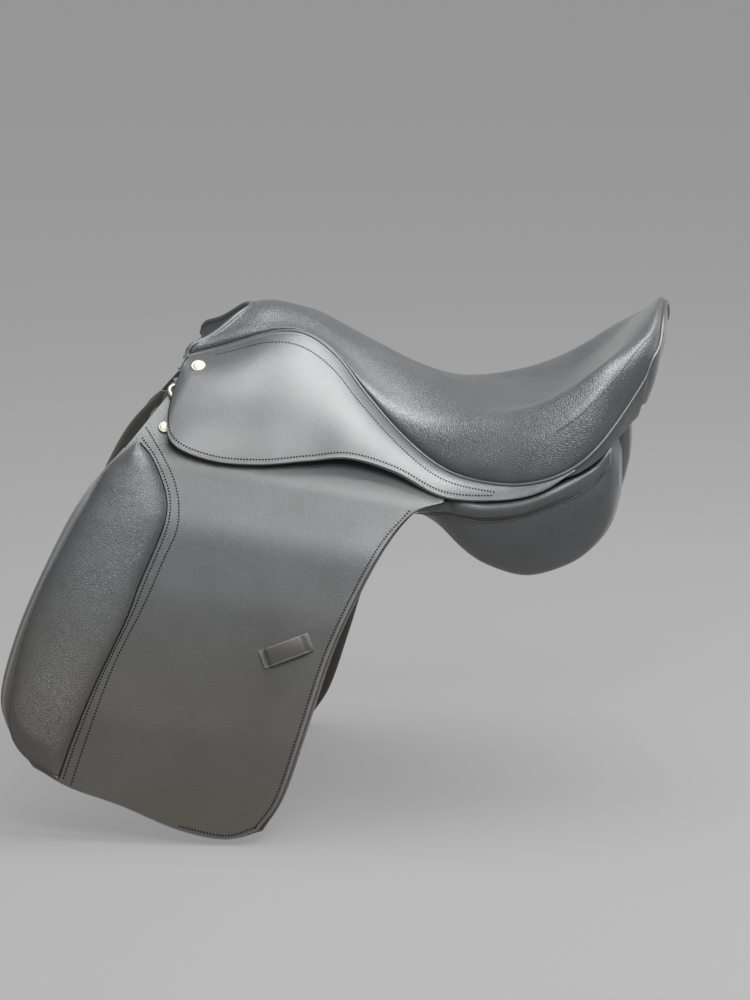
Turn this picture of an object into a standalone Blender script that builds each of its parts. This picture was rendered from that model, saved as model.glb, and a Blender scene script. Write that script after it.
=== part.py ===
"""English riding saddle, built as separate pieces.

Metres, +Z up. -X is the pommel, +X the cantle, -Y the near (left) side.
The origin is on the centre line, under the deepest part of the seat, at the
height of the lowest line on which the panels bear.
"""

import math

import bmesh
import bpy
import numpy as np
from mathutils import Matrix, Vector

# Seat and skirt, as rows from the pommel to the cantle. Each row gives the
# centre line's x and z, the height of the rim, and the seam's x, half width and z.
SEAT_ROWS = [
    (-0.203, 0.236, 0.219, -0.260, 0.078, 0.199),
    (-0.194, 0.2385, 0.223, -0.237, 0.066, 0.206),
    (-0.181, 0.238, 0.227, -0.211, 0.056, 0.214),
    (-0.165, 0.234, 0.229, -0.175, 0.050, 0.219),
    (-0.143, 0.225, 0.223, -0.146, 0.054, 0.217),
    (-0.118, 0.212, 0.208, -0.117, 0.065, 0.196),
    (-0.088, 0.196, 0.185, -0.089, 0.084, 0.164),
    (-0.050, 0.175, 0.160, -0.050, 0.107, 0.128),
    (-0.009, 0.158, 0.147, -0.008, 0.127, 0.105),
    (0.035, 0.150, 0.152, 0.040, 0.142, 0.099),
    (0.068, 0.152, 0.163, 0.078, 0.147, 0.105),
    (0.098, 0.163, 0.182, 0.110, 0.143, 0.115),
    (0.128, 0.187, 0.200, 0.133, 0.133, 0.132),
    (0.155, 0.219, 0.214, 0.152, 0.116, 0.156),
    (0.174, 0.244, 0.220, 0.161, 0.104, 0.172),
    (0.183, 0.240, 0.204, 0.166, 0.093, 0.186),
]
# The skirt's lower edge at rows 0 to 11: x, half width and z.
SKIRT_ROWS = [
    (-0.262, 0.097, 0.187),
    (-0.272, 0.136, 0.152),
    (-0.262, 0.153, 0.129),
    (-0.228, 0.158, 0.118),
    (-0.182, 0.156, 0.116),
    (-0.137, 0.151, 0.119),
    (-0.098, 0.149, 0.123),
    (-0.055, 0.149, 0.114),
    (-0.010, 0.152, 0.092),
    (0.042, 0.154, 0.088),
    (0.080, 0.152, 0.095),
    (0.113, 0.147, 0.108),
]
SKIRT_BULGE = 0.09
# Places across at which the seat's section has its shoulder, rim and border, the share of
# the rise that the shoulder has, and the share of the fall that the border has.
SHOULDER_PLACE = 0.42
RIM_PLACE = 0.80
BORDER_PLACE = 0.965
SHOULDER_RISE = 0.2
BORDER_FALL = 0.42
# Places across of the skirt's lower edge, the foam's edge, the webs' edges and the pommel facing's ends.
SKIRT_EDGE = 2.0
FOAM_REACH = 0.9
LONG_WEB_REACH = 0.2
CROSS_WEB_REACH = 0.75
FACING_REACH = 1.3
# The skirt's lobe lifts about the line through these two places, given as row and place across.
LOBE_FRONT = (0.35, 1.72)
LOBE_REAR = (6.6, 1.93)
LOBE_GAP = 0.0012
LOBE_AXIS_OUT = 0.0115
LOBE_ROWS = 12
LOBE_SETBACK = (0.1, 0.3)
SKIRT_SEAM_SHARE = 1.15

# The flap bends along this line, on its outer face.
HINGE_FRONT = (-0.306, 0.126)
HINGE_REAR = (-0.024, 0.081)
# Half width of the flap's outer face at distances below the hinge line.
FLAP_PROFILE = [
    (-0.100, 0.045),
    (-0.050, 0.100),
    (0.000, 0.150),
    (0.060, 0.176),
    (0.120, 0.1935),
    (0.240, 0.219),
    (0.380, 0.239),
]
FLAP_FRONT_EDGE = [
    (-0.306, 0.126),
    (-0.333, 0.080),
    (-0.368, 0.017),
    (-0.399, -0.048),
    (-0.416, -0.104),
    (-0.414, -0.140),
    (-0.400, -0.163),
]
FLAP_LOWER_EDGE = [
    (-0.400, -0.163),
    (-0.364, -0.184),
    (-0.307, -0.204),
    (-0.250, -0.221),
    (-0.206, -0.228),
    (-0.174, -0.216),
]
FLAP_REAR_EDGE = [
    (-0.024, 0.081),
    (-0.051, 0.062),
    (-0.073, 0.035),
    (-0.100, -0.005),
    (-0.121, -0.060),
    (-0.138, -0.134),
    (-0.156, -0.190),
    (-0.174, -0.216),
]
KNEE_ROLL_REAR_EDGE = [
    (-0.288, 0.112),
    (-0.276, 0.092),
    (-0.270, 0.068),
    (-0.276, 0.038),
    (-0.292, 0.000),
    (-0.315, -0.056),
    (-0.338, -0.110),
    (-0.362, -0.168),
]

# The flap head rises above the bend line: at its front, along its middle and at its rear.
HEAD_RISE = (0.066, 0.038, 0.012)
HEAD_STEPS = (0.12, 0.60)
HEAD_LEAN = 0.75
SWEAT_TOP = 0.005

# Thickness of each layer.
COVER_THICK = 0.0022
FOAM_THICK = 0.0230
FOAM_EDGE_SHARE = 0.28
FOAM_REAR_TAPER = 0.4
FOAM_LAST_ROW = 13.1
TREE_LAST_ROW = 11.8
WEB_THICK = 0.0014
TREE_THICK = 0.0100
TREE_RAMP = 0.3
STEEL_THICK = 0.0025
SKIRT_THICK = 0.0045
FLAP_THICK = 0.0040
SWEAT_THICK = 0.0030
BILLET_THICK = 0.0040
GUARD_THICK = 0.0020
GUARD_WALL = 0.0016
FACING_THICK = 0.0030
GIRTH_WEB_THICK = 0.0015

# Clearances between neighbours.
GAP = 0.0003
SOFT_GAP = 0.0008
LAYER_GAP = 0.0008
# How far a cutter runs past the faces that it cuts.
CUT_PAST = 0.002

PIPING_RADIUS = 0.0025
FACING_DEPTH = 0.044
EDGE_SHEAR = 1.2
FACING_TOP_SHARE = 1.03

# Stirrup bar: an arm that stands off a plate on the tree, under these rows of the skirt.
BAR_ROWS = (2.6, 5.1)
BAR_ACROSS = 1.47
BAR_LENGTH = 0.094
BAR_HEIGHT = 0.016
BAR_ARM_THICK = 0.0052
BAR_PLATE_THICK = 0.0030
LEATHER_GAP = 0.0140
BAR_SKIRT_GAP = 0.0035
BAR_SEAT_GAP = 0.0042
BAR_FOOT = 0.0080
CATCH_LENGTH = 0.0180
CATCH_WIDTH = 0.0084
CATCH_LAP = 0.0100
CATCH_SHARE = 0.55
PIN_RADIUS = 0.0015
RIVET_RADIUS = 0.0020
RIVET_HEAD_RADIUS = 0.0036
RIVET_HEAD_HEIGHT = 0.0012
RIVET_SPAN = 0.060
RIVET_GRIP = 0.0060

# Saddle nail on the skirt, and stud on the flap head (x and z).
NAIL_RADIUS = 0.0065
NAIL_ROW = 0.5
NAIL_ACROSS = 1.3
STUD_RADIUS = 0.0058
STUD_PLACE = (-0.281, 0.142)
NAIL_RIM = 0.0011
NAIL_HEIGHT = 0.0028
NAIL_CROWN_SHARE = 0.72

# Dee ring, with its straight bar at this x and z, and its chape.
DEE_PLACE = (-0.259, 0.1745)
DEE_TILT = math.radians(25)
DEE_WIDTH = 0.026
DEE_HEIGHT = 0.024
DEE_WIRE = 0.0017
DEE_SHOULDER = 0.35
DEE_STAND = 0.0016
CHAPE_WIDTH = 0.016
CHAPE_LENGTH = 0.005
CHAPE_WALL = 0.0012

# Keeper on the flap.
KEEPER_LENGTH = 0.050
KEEPER_HEIGHT = 0.022
KEEPER_STRAP = 0.0022
KEEPER_SLOT = 0.0062
KEEPER_FOOT = 0.007
KEEPER_TILT = math.radians(20)
KEEPER_CENTRE = (-0.153, -0.052)

# Girth straps and the guard that slides on them.
BILLET_CENTRES = (-0.250, -0.217, -0.184)
BILLET_NAMES = ("front", "middle", "rear")
BILLET_WIDTH = 0.026
BILLET_ROWS = (0.004, 0.030, 0.060, 0.090, 0.120, 0.160, 0.200, 0.240, 0.265)
GUARD_HEIGHT = 0.022
GUARD_TOP_DISTANCE = 0.066
GUARD_MARGIN = 0.006
GUARD_SEAM = 0.0045
BILLET_POINT_SHARE = 0.6
# The web that carries the straps: distance below the bend line, and how far it has sunk inward.
GIRTH_WEB_ROWS = ((0.0015, 0.0), (-0.013, 0.0005), (-0.022, 0.001), (-0.034, 0.002))

KNEE_ROLL_CROWN = 0.0105
KNEE_ROLL_EDGE = 0.0022
KNEE_ROLL_HEAD = (-0.020, 0.004)
KNEE_ROLL_INSET = 0.004
# How squarely the roll fills out across and along, and how fast it rises from its edges.
KNEE_ROLL_FULLNESS = (2.6, 6.0, 0.7)
SWEAT_MARGIN = 0.0035
SWEAT_REACH = 0.020

# Panel sections: x, channel edge, channel top, channel bottom, then the upper
# outer corner and the lower outer edge as half width and height, and how far
# the lower edge leads the top toward the pommel for each metre of height.
PANEL_ROWS = [
    (-0.292, 0.056, 0.146, 0.132, 0.128, 0.121, 0.166, 0.018, 0.40),
    (-0.262, 0.052, 0.163, 0.126, 0.130, 0.116, 0.166, 0.014, 0.35),
    (-0.215, 0.048, 0.1712, 0.116, 0.131, 0.107, 0.158, 0.020, 0.25),
    (-0.165, 0.045, 0.158, 0.102, 0.132, 0.099, 0.148, 0.036, 0.15),
    (-0.110, 0.042, 0.124, 0.088, 0.131, 0.089, 0.130, 0.056, 0.05),
    (-0.060, 0.040, 0.104, 0.078, 0.131, 0.082, 0.112, 0.064, 0.0),
    (-0.025, 0.039, 0.096, 0.066, 0.135, 0.082, 0.107, 0.052, 0.0),
    (0.005, 0.038, 0.092, 0.046, 0.141, 0.082, 0.110, 0.024, 0.0),
    (0.030, 0.038, 0.092, 0.028, 0.143, 0.080, 0.112, 0.009, 0.0),
    (0.066, 0.038, 0.096, 0.016, 0.143, 0.086, 0.114, 0.001, 0.0),
    (0.105, 0.039, 0.108, 0.020, 0.138, 0.102, 0.113, 0.013, 0.0),
    (0.128, 0.042, 0.120, 0.034, 0.129, 0.114, 0.110, 0.031, 0.0),
    (0.143, 0.050, 0.128, 0.054, 0.122, 0.1296, 0.106, 0.054, 0.0),
    (0.151, 0.064, 0.116, 0.082, 0.104, 0.114, 0.100, 0.084, 0.0),
]
PANEL_SIDE_BULGE = 0.009
PANEL_BEARING_BULGE = 0.006
# The top sags as far back as this x, and crowns behind it.
PANEL_SAG_END = -0.2
PANEL_SAG = 0.006
PANEL_CROWN = 0.002
PANEL_CORNER_DROP = 0.004
PANEL_EDGE_INSET = 0.004
PANEL_BEARING_INSET = 0.010
PANEL_TOP_SHARES = (0.0, 0.3, 0.62, 0.9)
PANEL_SIDE_SHARES = (0.0, 0.33, 0.66, 0.94)

# How far the cantle facing's lower edge lies from the seam, from its near end to the centre: x, half width, z.
CANTLE_FACING_DROPS = [
    (-0.001, 0.000, -0.013),
    (-0.005, 0.000, -0.026),
    (-0.009, 0.000, -0.042),
    (-0.013, 0.000, -0.062),
    (-0.017, 0.000, -0.079),
]

SIDES = (("left", -1), ("right", 1))
# Distances over which the direction of the flap's face is taken.
PROBE = 0.01
NEAR_PROBE = 0.004
CORE_STEP = 0.3
INWARD_LEAN = math.radians(46)
LEAN_REACH = 1.35
# Rows and places across that all layers of the seat share.
SKIRT_STEPS = 15
CANTLE_STEPS = 6
SKIRT_LAST = len(SKIRT_ROWS) - 1
SEAT_LAST = len(SEAT_ROWS) - 1
GRID_ROWS = [SKIRT_LAST * i / SKIRT_STEPS for i in range(SKIRT_STEPS)] + [
    SKIRT_LAST + (SEAT_LAST - SKIRT_LAST) * i / CANTLE_STEPS for i in range(CANTLE_STEPS + 1)
]
# First grid row of each cross web, and the grid rows of the tree's steel pieces.
CROSS_WEBS = (("front", 7), ("rear", 12))
GULLET_ROWS = (2, 4)
SPRING_ROWS = (4, 14)
CANTLE_PLATE_ROWS = (14, 16)
# The tree is open between its rails from the first of these rows to the second.
TREE_OPENING = (5.2, 10.3)
# Places across of the tree's rails, its springs and its cantle plate's ends.
RAIL_REACH = (0.4, 0.75)
SPRING_REACH = (0.58, 0.75)
CANTLE_PLATE_REACH = 0.58
# Shares of the half width's curved length at which the seat's section has its points.
SECTION_SHARES = (0.0, 0.38, 0.74, 0.92, 1.0)
GRID_COLUMNS = (0.0, 0.2, 0.4, 0.58, 0.75, 0.9, 1.0, 1.15, 1.3, 1.46, 1.62)

hinge_slope = math.atan2(HINGE_FRONT[1] - HINGE_REAR[1], HINGE_REAR[0] - HINGE_FRONT[0])


def clear_scene():
    for obj in list(bpy.data.objects):
        bpy.data.objects.remove(obj, do_unlink=True)


def make_collection(name, hidden=False):
    collection = bpy.data.collections.new(name)
    bpy.context.scene.collection.children.link(collection)
    collection.hide_render = hidden
    return collection


def make_material(name, colour, roughness, metallic=0.0):
    material = bpy.data.materials.new(name)
    material.use_nodes = True
    shader = material.node_tree.nodes["Principled BSDF"]
    shader.inputs["Base Color"].default_value = (*colour, 1.0)
    shader.inputs["Roughness"].default_value = roughness
    shader.inputs["Metallic"].default_value = metallic
    material.diffuse_color = (*colour, 1.0)
    return material


def spline(values, t):
    """Point at t on a smooth curve through the values, which stand at 0, 1, 2 and so on."""
    values = np.asarray(values, float)
    last = len(values) - 1
    t = min(max(t, 0.0), float(last))
    i = min(int(t), last - 1)
    f = t - i
    p1 = values[i]
    p2 = values[i + 1]
    p0 = values[i - 1] if i > 0 else 2 * p1 - p2
    p3 = values[i + 2] if i + 2 <= last else 2 * p2 - p1
    cubic = 3 * p1 - p0 - 3 * p2 + p3
    square = 2 * p0 - 5 * p1 + 4 * p2 - p3
    return 0.5 * (2 * p1 + (p2 - p0) * f + square * f**2 + cubic * f**3)


def along(values, share):
    """Point at a share (0 to 1) of the way along a smooth curve through the values."""
    return spline(values, share * (len(values) - 1))


def unit(vector):
    return vector / np.linalg.norm(vector)


def outer_point(row, across):
    """Point on the seat (across up to 1, the seam) or the skirt (1 to 2). Negative is the near side."""
    side = -1.0 if across < 0 else 1.0
    share = abs(across)
    centre_x, centre_z, rim_z, seam_x, seam_y, seam_z = spline(SEAT_ROWS, row)
    if share <= 1:
        shoulder = centre_z + SHOULDER_RISE * (rim_z - centre_z)
        border = rim_z - BORDER_FALL * (rim_z - seam_z)
        section = [
            (-SHOULDER_PLACE, shoulder),
            (0.0, centre_z),
            (SHOULDER_PLACE, shoulder),
            (RIM_PLACE, rim_z),
            (BORDER_PLACE, border),
            (1.0, seam_z),
        ]
        breadth, z = spline(section, 1 + np.interp(share, SECTION_SHARES, range(5)))
        x = centre_x + (seam_x - centre_x) * breadth**2
        return np.array((x, side * seam_y * breadth, z))
    start = np.array((seam_x, seam_y, seam_z))
    end = spline(SKIRT_ROWS, row)
    drop = share - 1
    fall = end - start
    outward = unit(np.array((0.0, -fall[2], fall[1])))
    bulge = SKIRT_BULGE * np.linalg.norm(fall) * 4 * drop * (1 - drop)
    point = start + fall * drop + outward * bulge
    return np.array((point[0], side * point[1], point[2]))


def outer_normal(row, across, step):
    """Unit normal of the seat and skirt surface, from points a step apart, pointing outward."""
    reach = 1.0 if row > SKIRT_LAST else SKIRT_EDGE
    row_a = max(row - step, 0.0)
    row_b = min(row + step, SEAT_LAST if abs(across) <= 1 else SKIRT_LAST)
    side_a = max(across - step, -reach)
    side_b = min(across + step, reach)
    lengthwise = outer_point(row_b, across) - outer_point(row_a, across)
    crosswise = outer_point(row, side_b) - outer_point(row, side_a)
    return unit(np.cross(lengthwise, crosswise))


def inward(row, across):
    """Unit direction from the surface into the saddle, which leans over steadily from the centre out."""
    last = SEAT_LAST if abs(across) <= 1 else SKIRT_LAST
    row_a = max(row - CORE_STEP, 0.0)
    row_b = min(row + CORE_STEP, last)
    lengthwise = unit(outer_point(row_b, across) - outer_point(row_a, across))
    lean = INWARD_LEAN * min(abs(across) / LEAN_REACH, 1.0)
    side = -1.0 if across < 0 else 1.0
    upright = np.array((0.0, side * math.sin(lean), math.cos(lean)))
    return -unit(upright - lengthwise * np.dot(upright, lengthwise))


def below(row, across, depth):
    """Point at a depth under the seat and skirt surface."""
    return outer_point(row, across) + inward(row, across) * depth


def hinge_distance(x, z):
    """Distance in side view below the line on which the flap bends."""
    run = x - HINGE_FRONT[0]
    drop = HINGE_FRONT[1] - z
    return drop * math.cos(hinge_slope) - run * math.sin(hinge_slope)


def flap_half_width(distance):
    distances = [entry[0] for entry in FLAP_PROFILE]
    widths = [entry[1] for entry in FLAP_PROFILE]
    return float(np.interp(distance, distances, widths))


def flap_point(x, z, depth, side):
    """Point at a depth (across the saddle) inside the flap's outer face."""
    return np.array((x, side * (flap_half_width(hinge_distance(x, z)) - depth), z))


def height_at(x, distance):
    """Height of the point at x that lies this far below the hinge line."""
    run = (x - HINGE_FRONT[0]) * math.sin(hinge_slope)
    return HINGE_FRONT[1] - (distance + run) / math.cos(hinge_slope)


def patch(front, rear, upper, lower, across, down):
    """Points of a four-sided patch between its edge curves, which are given in side view."""
    rows = []
    for j in range(down + 1):
        v = j / down
        row = []
        for i in range(across + 1):
            u = i / across
            sides = (1 - u) * along(front, v) + u * along(rear, v)
            ends = (1 - v) * along(upper, u) + v * along(lower, u)
            corners = (1 - v) * ((1 - u) * along(upper, 0) + u * along(upper, 1))
            corners = corners + v * ((1 - u) * along(lower, 0) + u * along(lower, 1))
            row.append(sides + ends - corners)
        rows.append(row)
    return rows


def link(obj, collection, material):
    collection.objects.link(obj)
    if material:
        obj.data.materials.append(material)
    return obj


def object_from(bm, name, collection, material):
    bmesh.ops.recalc_face_normals(bm, faces=bm.faces)
    mesh = bpy.data.meshes.new(name)
    bm.to_mesh(mesh)
    bm.free()
    mesh.shade_smooth()
    mesh.set_sharp_from_angle(angle=math.radians(40))
    return link(bpy.data.objects.new(name, mesh), collection, material)


def grid_sheet(rows):
    """A bmesh grid laid over rows of points, with each vertex's place kept in a layer."""
    down = len(rows) - 1
    across = len(rows[0]) - 1
    bm = bmesh.new()
    bmesh.ops.create_grid(bm, x_segments=across, y_segments=down, size=1.0)
    place = bm.verts.layers.int.new("place")
    for vert in bm.verts:
        i = round((vert.co.x + 1) / 2 * across)
        j = round((vert.co.y + 1) / 2 * down)
        vert[place] = j * (across + 1) + i
        vert.co = Vector(rows[j][i])
    return bm, place


def solid_between(name, upper, lower, collection, material, keep=None):
    """A closed body between two grids of points with the same rows and columns."""
    bm, place = grid_sheet(upper)
    # The same diagonals in every layer keep twisted neighbours parallel.
    bmesh.ops.triangulate(bm, faces=bm.faces, quad_method="FIXED")
    columns = len(upper[0])
    if keep:
        dropped = []
        for face in bm.faces:
            spots = [vert[place] for vert in face.verts]
            j = min(spots) // columns
            i = min(spot % columns for spot in spots)
            if not keep(j, i):
                dropped.append(face)
        bmesh.ops.delete(bm, geom=dropped, context="FACES")
    made = bmesh.ops.extrude_face_region(bm, geom=bm.faces[:])
    for vert in made["geom"]:
        if isinstance(vert, bmesh.types.BMVert):
            spot = vert[place]
            vert.co = Vector(lower[spot // columns][spot % columns])
    return object_from(bm, name, collection, material)


def sheet_solid(name, rows, thickness, outward, collection, material):
    """A sheet of leather whose outer face lies on the rows of points."""
    bm, _ = grid_sheet(rows)
    bm.normal_update()
    facing = Vector((0, 0, 0))
    for face in bm.faces:
        facing += face.normal * face.calc_area()
    if facing.dot(Vector(outward)) < 0:
        bmesh.ops.reverse_faces(bm, faces=bm.faces)
    mesh = bpy.data.meshes.new(name)
    bm.to_mesh(mesh)
    bm.free()
    mesh.shade_smooth()
    obj = link(bpy.data.objects.new(name, mesh), collection, material)
    solid = obj.modifiers.new("Thickness", "SOLIDIFY")
    solid.thickness = thickness
    solid.offset = -1
    return obj


def frame_matrix(origin, x_axis, y_axis, z_axis):
    matrix = Matrix.Identity(4)
    for column, axis in enumerate((x_axis, y_axis, z_axis)):
        for i in range(3):
            matrix[i][column] = axis[i]
    for i in range(3):
        matrix[i][3] = origin[i]
    return matrix


def outline_solid(name, outlines, height, matrix, collection, material):
    """A flat outline (with any holes) extruded by a height, centred, and placed by a matrix."""
    curve = bpy.data.curves.new(name, "CURVE")
    curve.dimensions = "2D"
    curve.fill_mode = "BOTH"
    curve.extrude = height / 2
    for points in outlines:
        outline = curve.splines.new("POLY")
        outline.points.add(len(points) - 1)
        for spot, (x, y) in zip(outline.points, points):
            spot.co = (x, y, 0, 1)
        outline.use_cyclic_u = True
    guide = bpy.data.objects.new(name + "_outline", curve)
    bpy.context.scene.collection.objects.link(guide)
    graph = bpy.context.evaluated_depsgraph_get()
    mesh = bpy.data.meshes.new_from_object(guide.evaluated_get(graph))
    bpy.data.objects.remove(guide, do_unlink=True)
    bm = bmesh.new()
    bm.from_mesh(mesh)
    bpy.data.meshes.remove(mesh)
    bmesh.ops.remove_doubles(bm, verts=bm.verts, dist=1e-5)
    bmesh.ops.transform(bm, matrix=matrix, verts=bm.verts)
    return object_from(bm, name, collection, material)


def round_solid(name, radii, matrix, collection, material, segments=16):
    """A stepped round body: (radius, from, to) lengths along local Z, which meet end to end."""
    bm = bmesh.new()
    profile = []
    for radius, low, high in radii:
        profile.append((radius, low))
        profile.append((radius, high))
    points = [(0.0, profile[0][1])] + profile + [(0.0, profile[-1][1])]
    verts = [bm.verts.new((radius, 0, z)) for radius, z in points]
    edges = [bm.edges.new(pair) for pair in zip(verts, verts[1:])]
    bmesh.ops.spin(
        bm,
        geom=verts + edges,
        cent=(0, 0, 0),
        axis=(0, 0, 1),
        angle=2 * math.pi,
        steps=segments,
        use_merge=True,
    )
    bmesh.ops.remove_doubles(bm, verts=bm.verts, dist=1e-6)
    bmesh.ops.transform(bm, matrix=matrix, verts=bm.verts)
    return object_from(bm, name, collection, material)


def cut(obj, cutter):
    boolean = obj.modifiers.new("Cut", "BOOLEAN")
    boolean.operation = "DIFFERENCE"
    boolean.object = cutter
    cutter.display_type = "WIRE"
    cutter.hide_render = True


def cutter_rod(name, radius, low, high, matrix):
    return round_solid(name, [(radius, low, high)], matrix, cutters, None, 12)


def tube(name, points, radius, collection, material, closed=False, sides=2):
    curve = bpy.data.curves.new(name, "CURVE")
    curve.dimensions = "3D"
    curve.bevel_depth = radius
    curve.bevel_resolution = sides
    curve.use_fill_caps = not closed
    line = curve.splines.new("POLY")
    line.points.add(len(points) - 1)
    for spot, point in zip(line.points, points):
        spot.co = (*point, 1)
    line.use_cyclic_u = closed
    return link(bpy.data.objects.new(name, curve), collection, material)


def hang_on(obj, origin):
    """Puts the object's origin on its joint's axis, with its shape left where it is."""
    obj.data.transform(Matrix.Translation(-Vector(origin)))
    obj.location = origin


def build_grid(rows, columns, depth):
    """Points under the outer surface, where depth is a function of the row and the place across."""
    return [[below(r, v, depth(r, v)) for v in columns] for r in rows]


def foam_under(row, across):
    """Depth of the foam's underside, which thins toward the seam."""
    share = min(abs(across), 1.0)
    top = COVER_THICK + SOFT_GAP
    behind = min(max(row - TREE_LAST_ROW, 0.0) * FOAM_REAR_TAPER, 0.6)
    return top + FOAM_THICK * (1 - (1 - FOAM_EDGE_SHARE) * share**2) * (1 - behind)


def bar_plate_depth():
    """Depth of the tree side of the stirrup bar's plate."""
    return SKIRT_THICK + BAR_SKIRT_GAP + BAR_ARM_THICK + LEATHER_GAP + BAR_PLATE_THICK


def tree_top(row, across):
    """Depth of the tree's upper face: under the webs, and under the stirrup bar at the sides."""
    under_webs = foam_under(row, across) + 2 * WEB_THICK + 3 * SOFT_GAP
    if abs(across) <= 1:
        return under_webs
    ramp = min((abs(across) - 1) / TREE_RAMP, 1.0)
    smooth = ramp * ramp * (3 - 2 * ramp)
    return under_webs + (bar_plate_depth() + BAR_SEAT_GAP - under_webs) * smooth


def pulled_in(rows, distance):
    """Rows whose end points are pulled back until they lie the given distance from the line of the ends."""
    for end, neighbour in ((0, 1), (-1, -2)):
        line = [row[end] for row in rows]
        shift_from_line(line, [row[neighbour] for row in rows], distance)
        for row, point in zip(rows, line):
            row[end] = point
    return rows


def shift_from_line(line, neighbours, distance):
    """Moves each point of a line toward its neighbour, by a distance measured square to the line."""
    last = len(line) - 1
    tangents = [unit(line[min(i + 1, last)] - line[max(i - 1, 0)]) for i in range(last + 1)]
    for i, tangent in enumerate(tangents):
        toward = unit(neighbours[i] - line[i])
        square = np.linalg.norm(toward - tangent * np.dot(toward, tangent))
        line[i] = line[i] + toward * distance / max(square, 0.4)


def rows_between(low, high):
    """The rows of the common grid from one number to another, so that layers lie parallel."""
    return [row for row in GRID_ROWS if low - 0.01 <= row <= high + 0.01]


def columns_within(low, high):
    """The places across of the common grid, both sides, from one share of the half width to another."""
    half = [v for v in GRID_COLUMNS if low - 0.001 <= v <= high + 0.001]
    if low > 0:
        return half
    return [-v for v in half[:0:-1]] + half


def spread(low, high, count):
    return [low + (high - low) * i / (count - 1) for i in range(count)]


def layer(name, rows, columns, upper, thickness, material, keep=None):
    """A layer of the seat: its upper face lies at a depth given by a function."""
    top = build_grid(rows, columns, upper)
    under = build_grid(rows, columns, lambda r, v: upper(r, v) + thickness(r, v))
    return solid_between(name, top, under, saddle, material, keep)


def even(thickness):
    return lambda row, across: thickness


def build_seat():
    seam_gap = PIPING_RADIUS + SOFT_GAP
    columns = columns_within(0, 1)
    faces = []
    for depth in (0.0, COVER_THICK):
        grid = build_grid(GRID_ROWS, columns, even(depth))
        short = seam_gap + depth * EDGE_SHEAR
        shift_from_line(grid[-1], grid[-2], short)
        faces.append(pulled_in(grid, short))
    solid_between("seat_cover", *faces, saddle, leather_grain)

    top = COVER_THICK + SOFT_GAP

    def foam_thickness(row, across):
        return foam_under(row, across) - top

    rows = rows_between(GRID_ROWS[1], FOAM_LAST_ROW)
    layer("seat_foam", rows, columns_within(0, FOAM_REACH), even(top), foam_thickness, foam_grey)

    def long_web_top(row, across):
        return foam_under(row, across) + SOFT_GAP

    def cross_web_top(row, across):
        return long_web_top(row, across) + WEB_THICK + SOFT_GAP

    rows = rows_between(GRID_ROWS[2], TREE_LAST_ROW)
    columns = columns_within(0, LONG_WEB_REACH)
    layer("seat_web_long", rows, columns, long_web_top, even(WEB_THICK), web_linen)
    columns = columns_within(0, CROSS_WEB_REACH)
    for name, first in CROSS_WEBS:
        rows = GRID_ROWS[first : first + 2]
        layer("seat_web_" + name, rows, columns, cross_web_top, even(WEB_THICK), web_linen)


def build_tree():
    rows = rows_between(GRID_ROWS[1], TREE_LAST_ROW)
    columns = columns_within(0, GRID_COLUMNS[-1])

    def keep(j, i):
        row = (rows[j] + rows[j + 1]) / 2
        share = abs(columns[i] + columns[i + 1]) / 2
        if row > TREE_OPENING[1]:
            return share < RAIL_REACH[1]
        if row > TREE_OPENING[0]:
            return RAIL_REACH[0] < share < RAIL_REACH[1]
        return True

    tree = layer("tree_frame", rows, columns, tree_top, even(TREE_THICK), wood, keep)

    def steel_top(row, across):
        return tree_top(row, across) + TREE_THICK + SOFT_GAP

    def spring_top(row, across):
        return steel_top(row, across) + GAP

    thickness = even(STEEL_THICK)
    layer("gullet_plate", GRID_ROWS[slice(*GULLET_ROWS)], columns, steel_top, thickness, steel)
    for name, side in SIDES:
        places = sorted((side * SPRING_REACH[0], side * SPRING_REACH[1]))
        layer("tree_spring_" + name, GRID_ROWS[slice(*SPRING_ROWS)], places, spring_top, thickness, steel)
    rows = GRID_ROWS[slice(*CANTLE_PLATE_ROWS)]
    layer("cantle_plate", rows, columns_within(0, CANTLE_PLATE_REACH), steel_top, thickness, steel)
    return tree


def build_piping():
    points = []
    for row in [CORE_STEP] + GRID_ROWS[1:]:
        points.append(outer_point(row, -1.0))
    for across in [v for v in columns_within(0, 0.9) if v <= 0]:
        points.append(outer_point(SEAT_LAST, across))
    mirrored = [np.array((p[0], -p[1], p[2])) for p in points[-2::-1]]
    tube("seat_piping", points + mirrored, PIPING_RADIUS, saddle, leather_smooth, sides=1)


def build_facings():
    columns = columns_within(0, FACING_REACH)
    faces = []
    for reach in (SOFT_GAP + FACING_THICK, SOFT_GAP):
        rows = []
        for depth in spread(0.0, FACING_DEPTH, 4):
            row = []
            for v in columns:
                forward = unit(outer_point(0, v) - outer_point(CORE_STEP, v))
                row.append(below(0, v, depth) + forward * reach)
            rows.append(row)
        faces.append(rows)
    solid_between("pommel_facing", *faces, saddle, leather_smooth)

    seam_gap = PIPING_RADIUS + SOFT_GAP
    upper = [outer_point(row, -1) for row in GRID_ROWS[16:]]
    for across in [v for v in columns_within(0, 0.75) if v <= 0]:
        upper.append(outer_point(SEAT_LAST, across))
    count = len(upper)
    lower = []
    for i in range(count):
        lower.append(upper[i] + along(CANTLE_FACING_DROPS, i / (count - 1)))
    starts = list(upper)
    shift_from_line(starts, lower, seam_gap * FACING_TOP_SHARE)
    rows = []
    for share in (0.0, 0.5, 1.0):
        row = []
        for begin, end in zip(starts, lower):
            row.append(begin + (end - begin) * share)
        mirrored = [np.array((p[0], -p[1], p[2])) for p in row[-2::-1]]
        rows.append(row + mirrored)
    sheet_solid("cantle_facing", rows, FACING_THICK, (1, 0, 0), saddle, leather_smooth)


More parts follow.
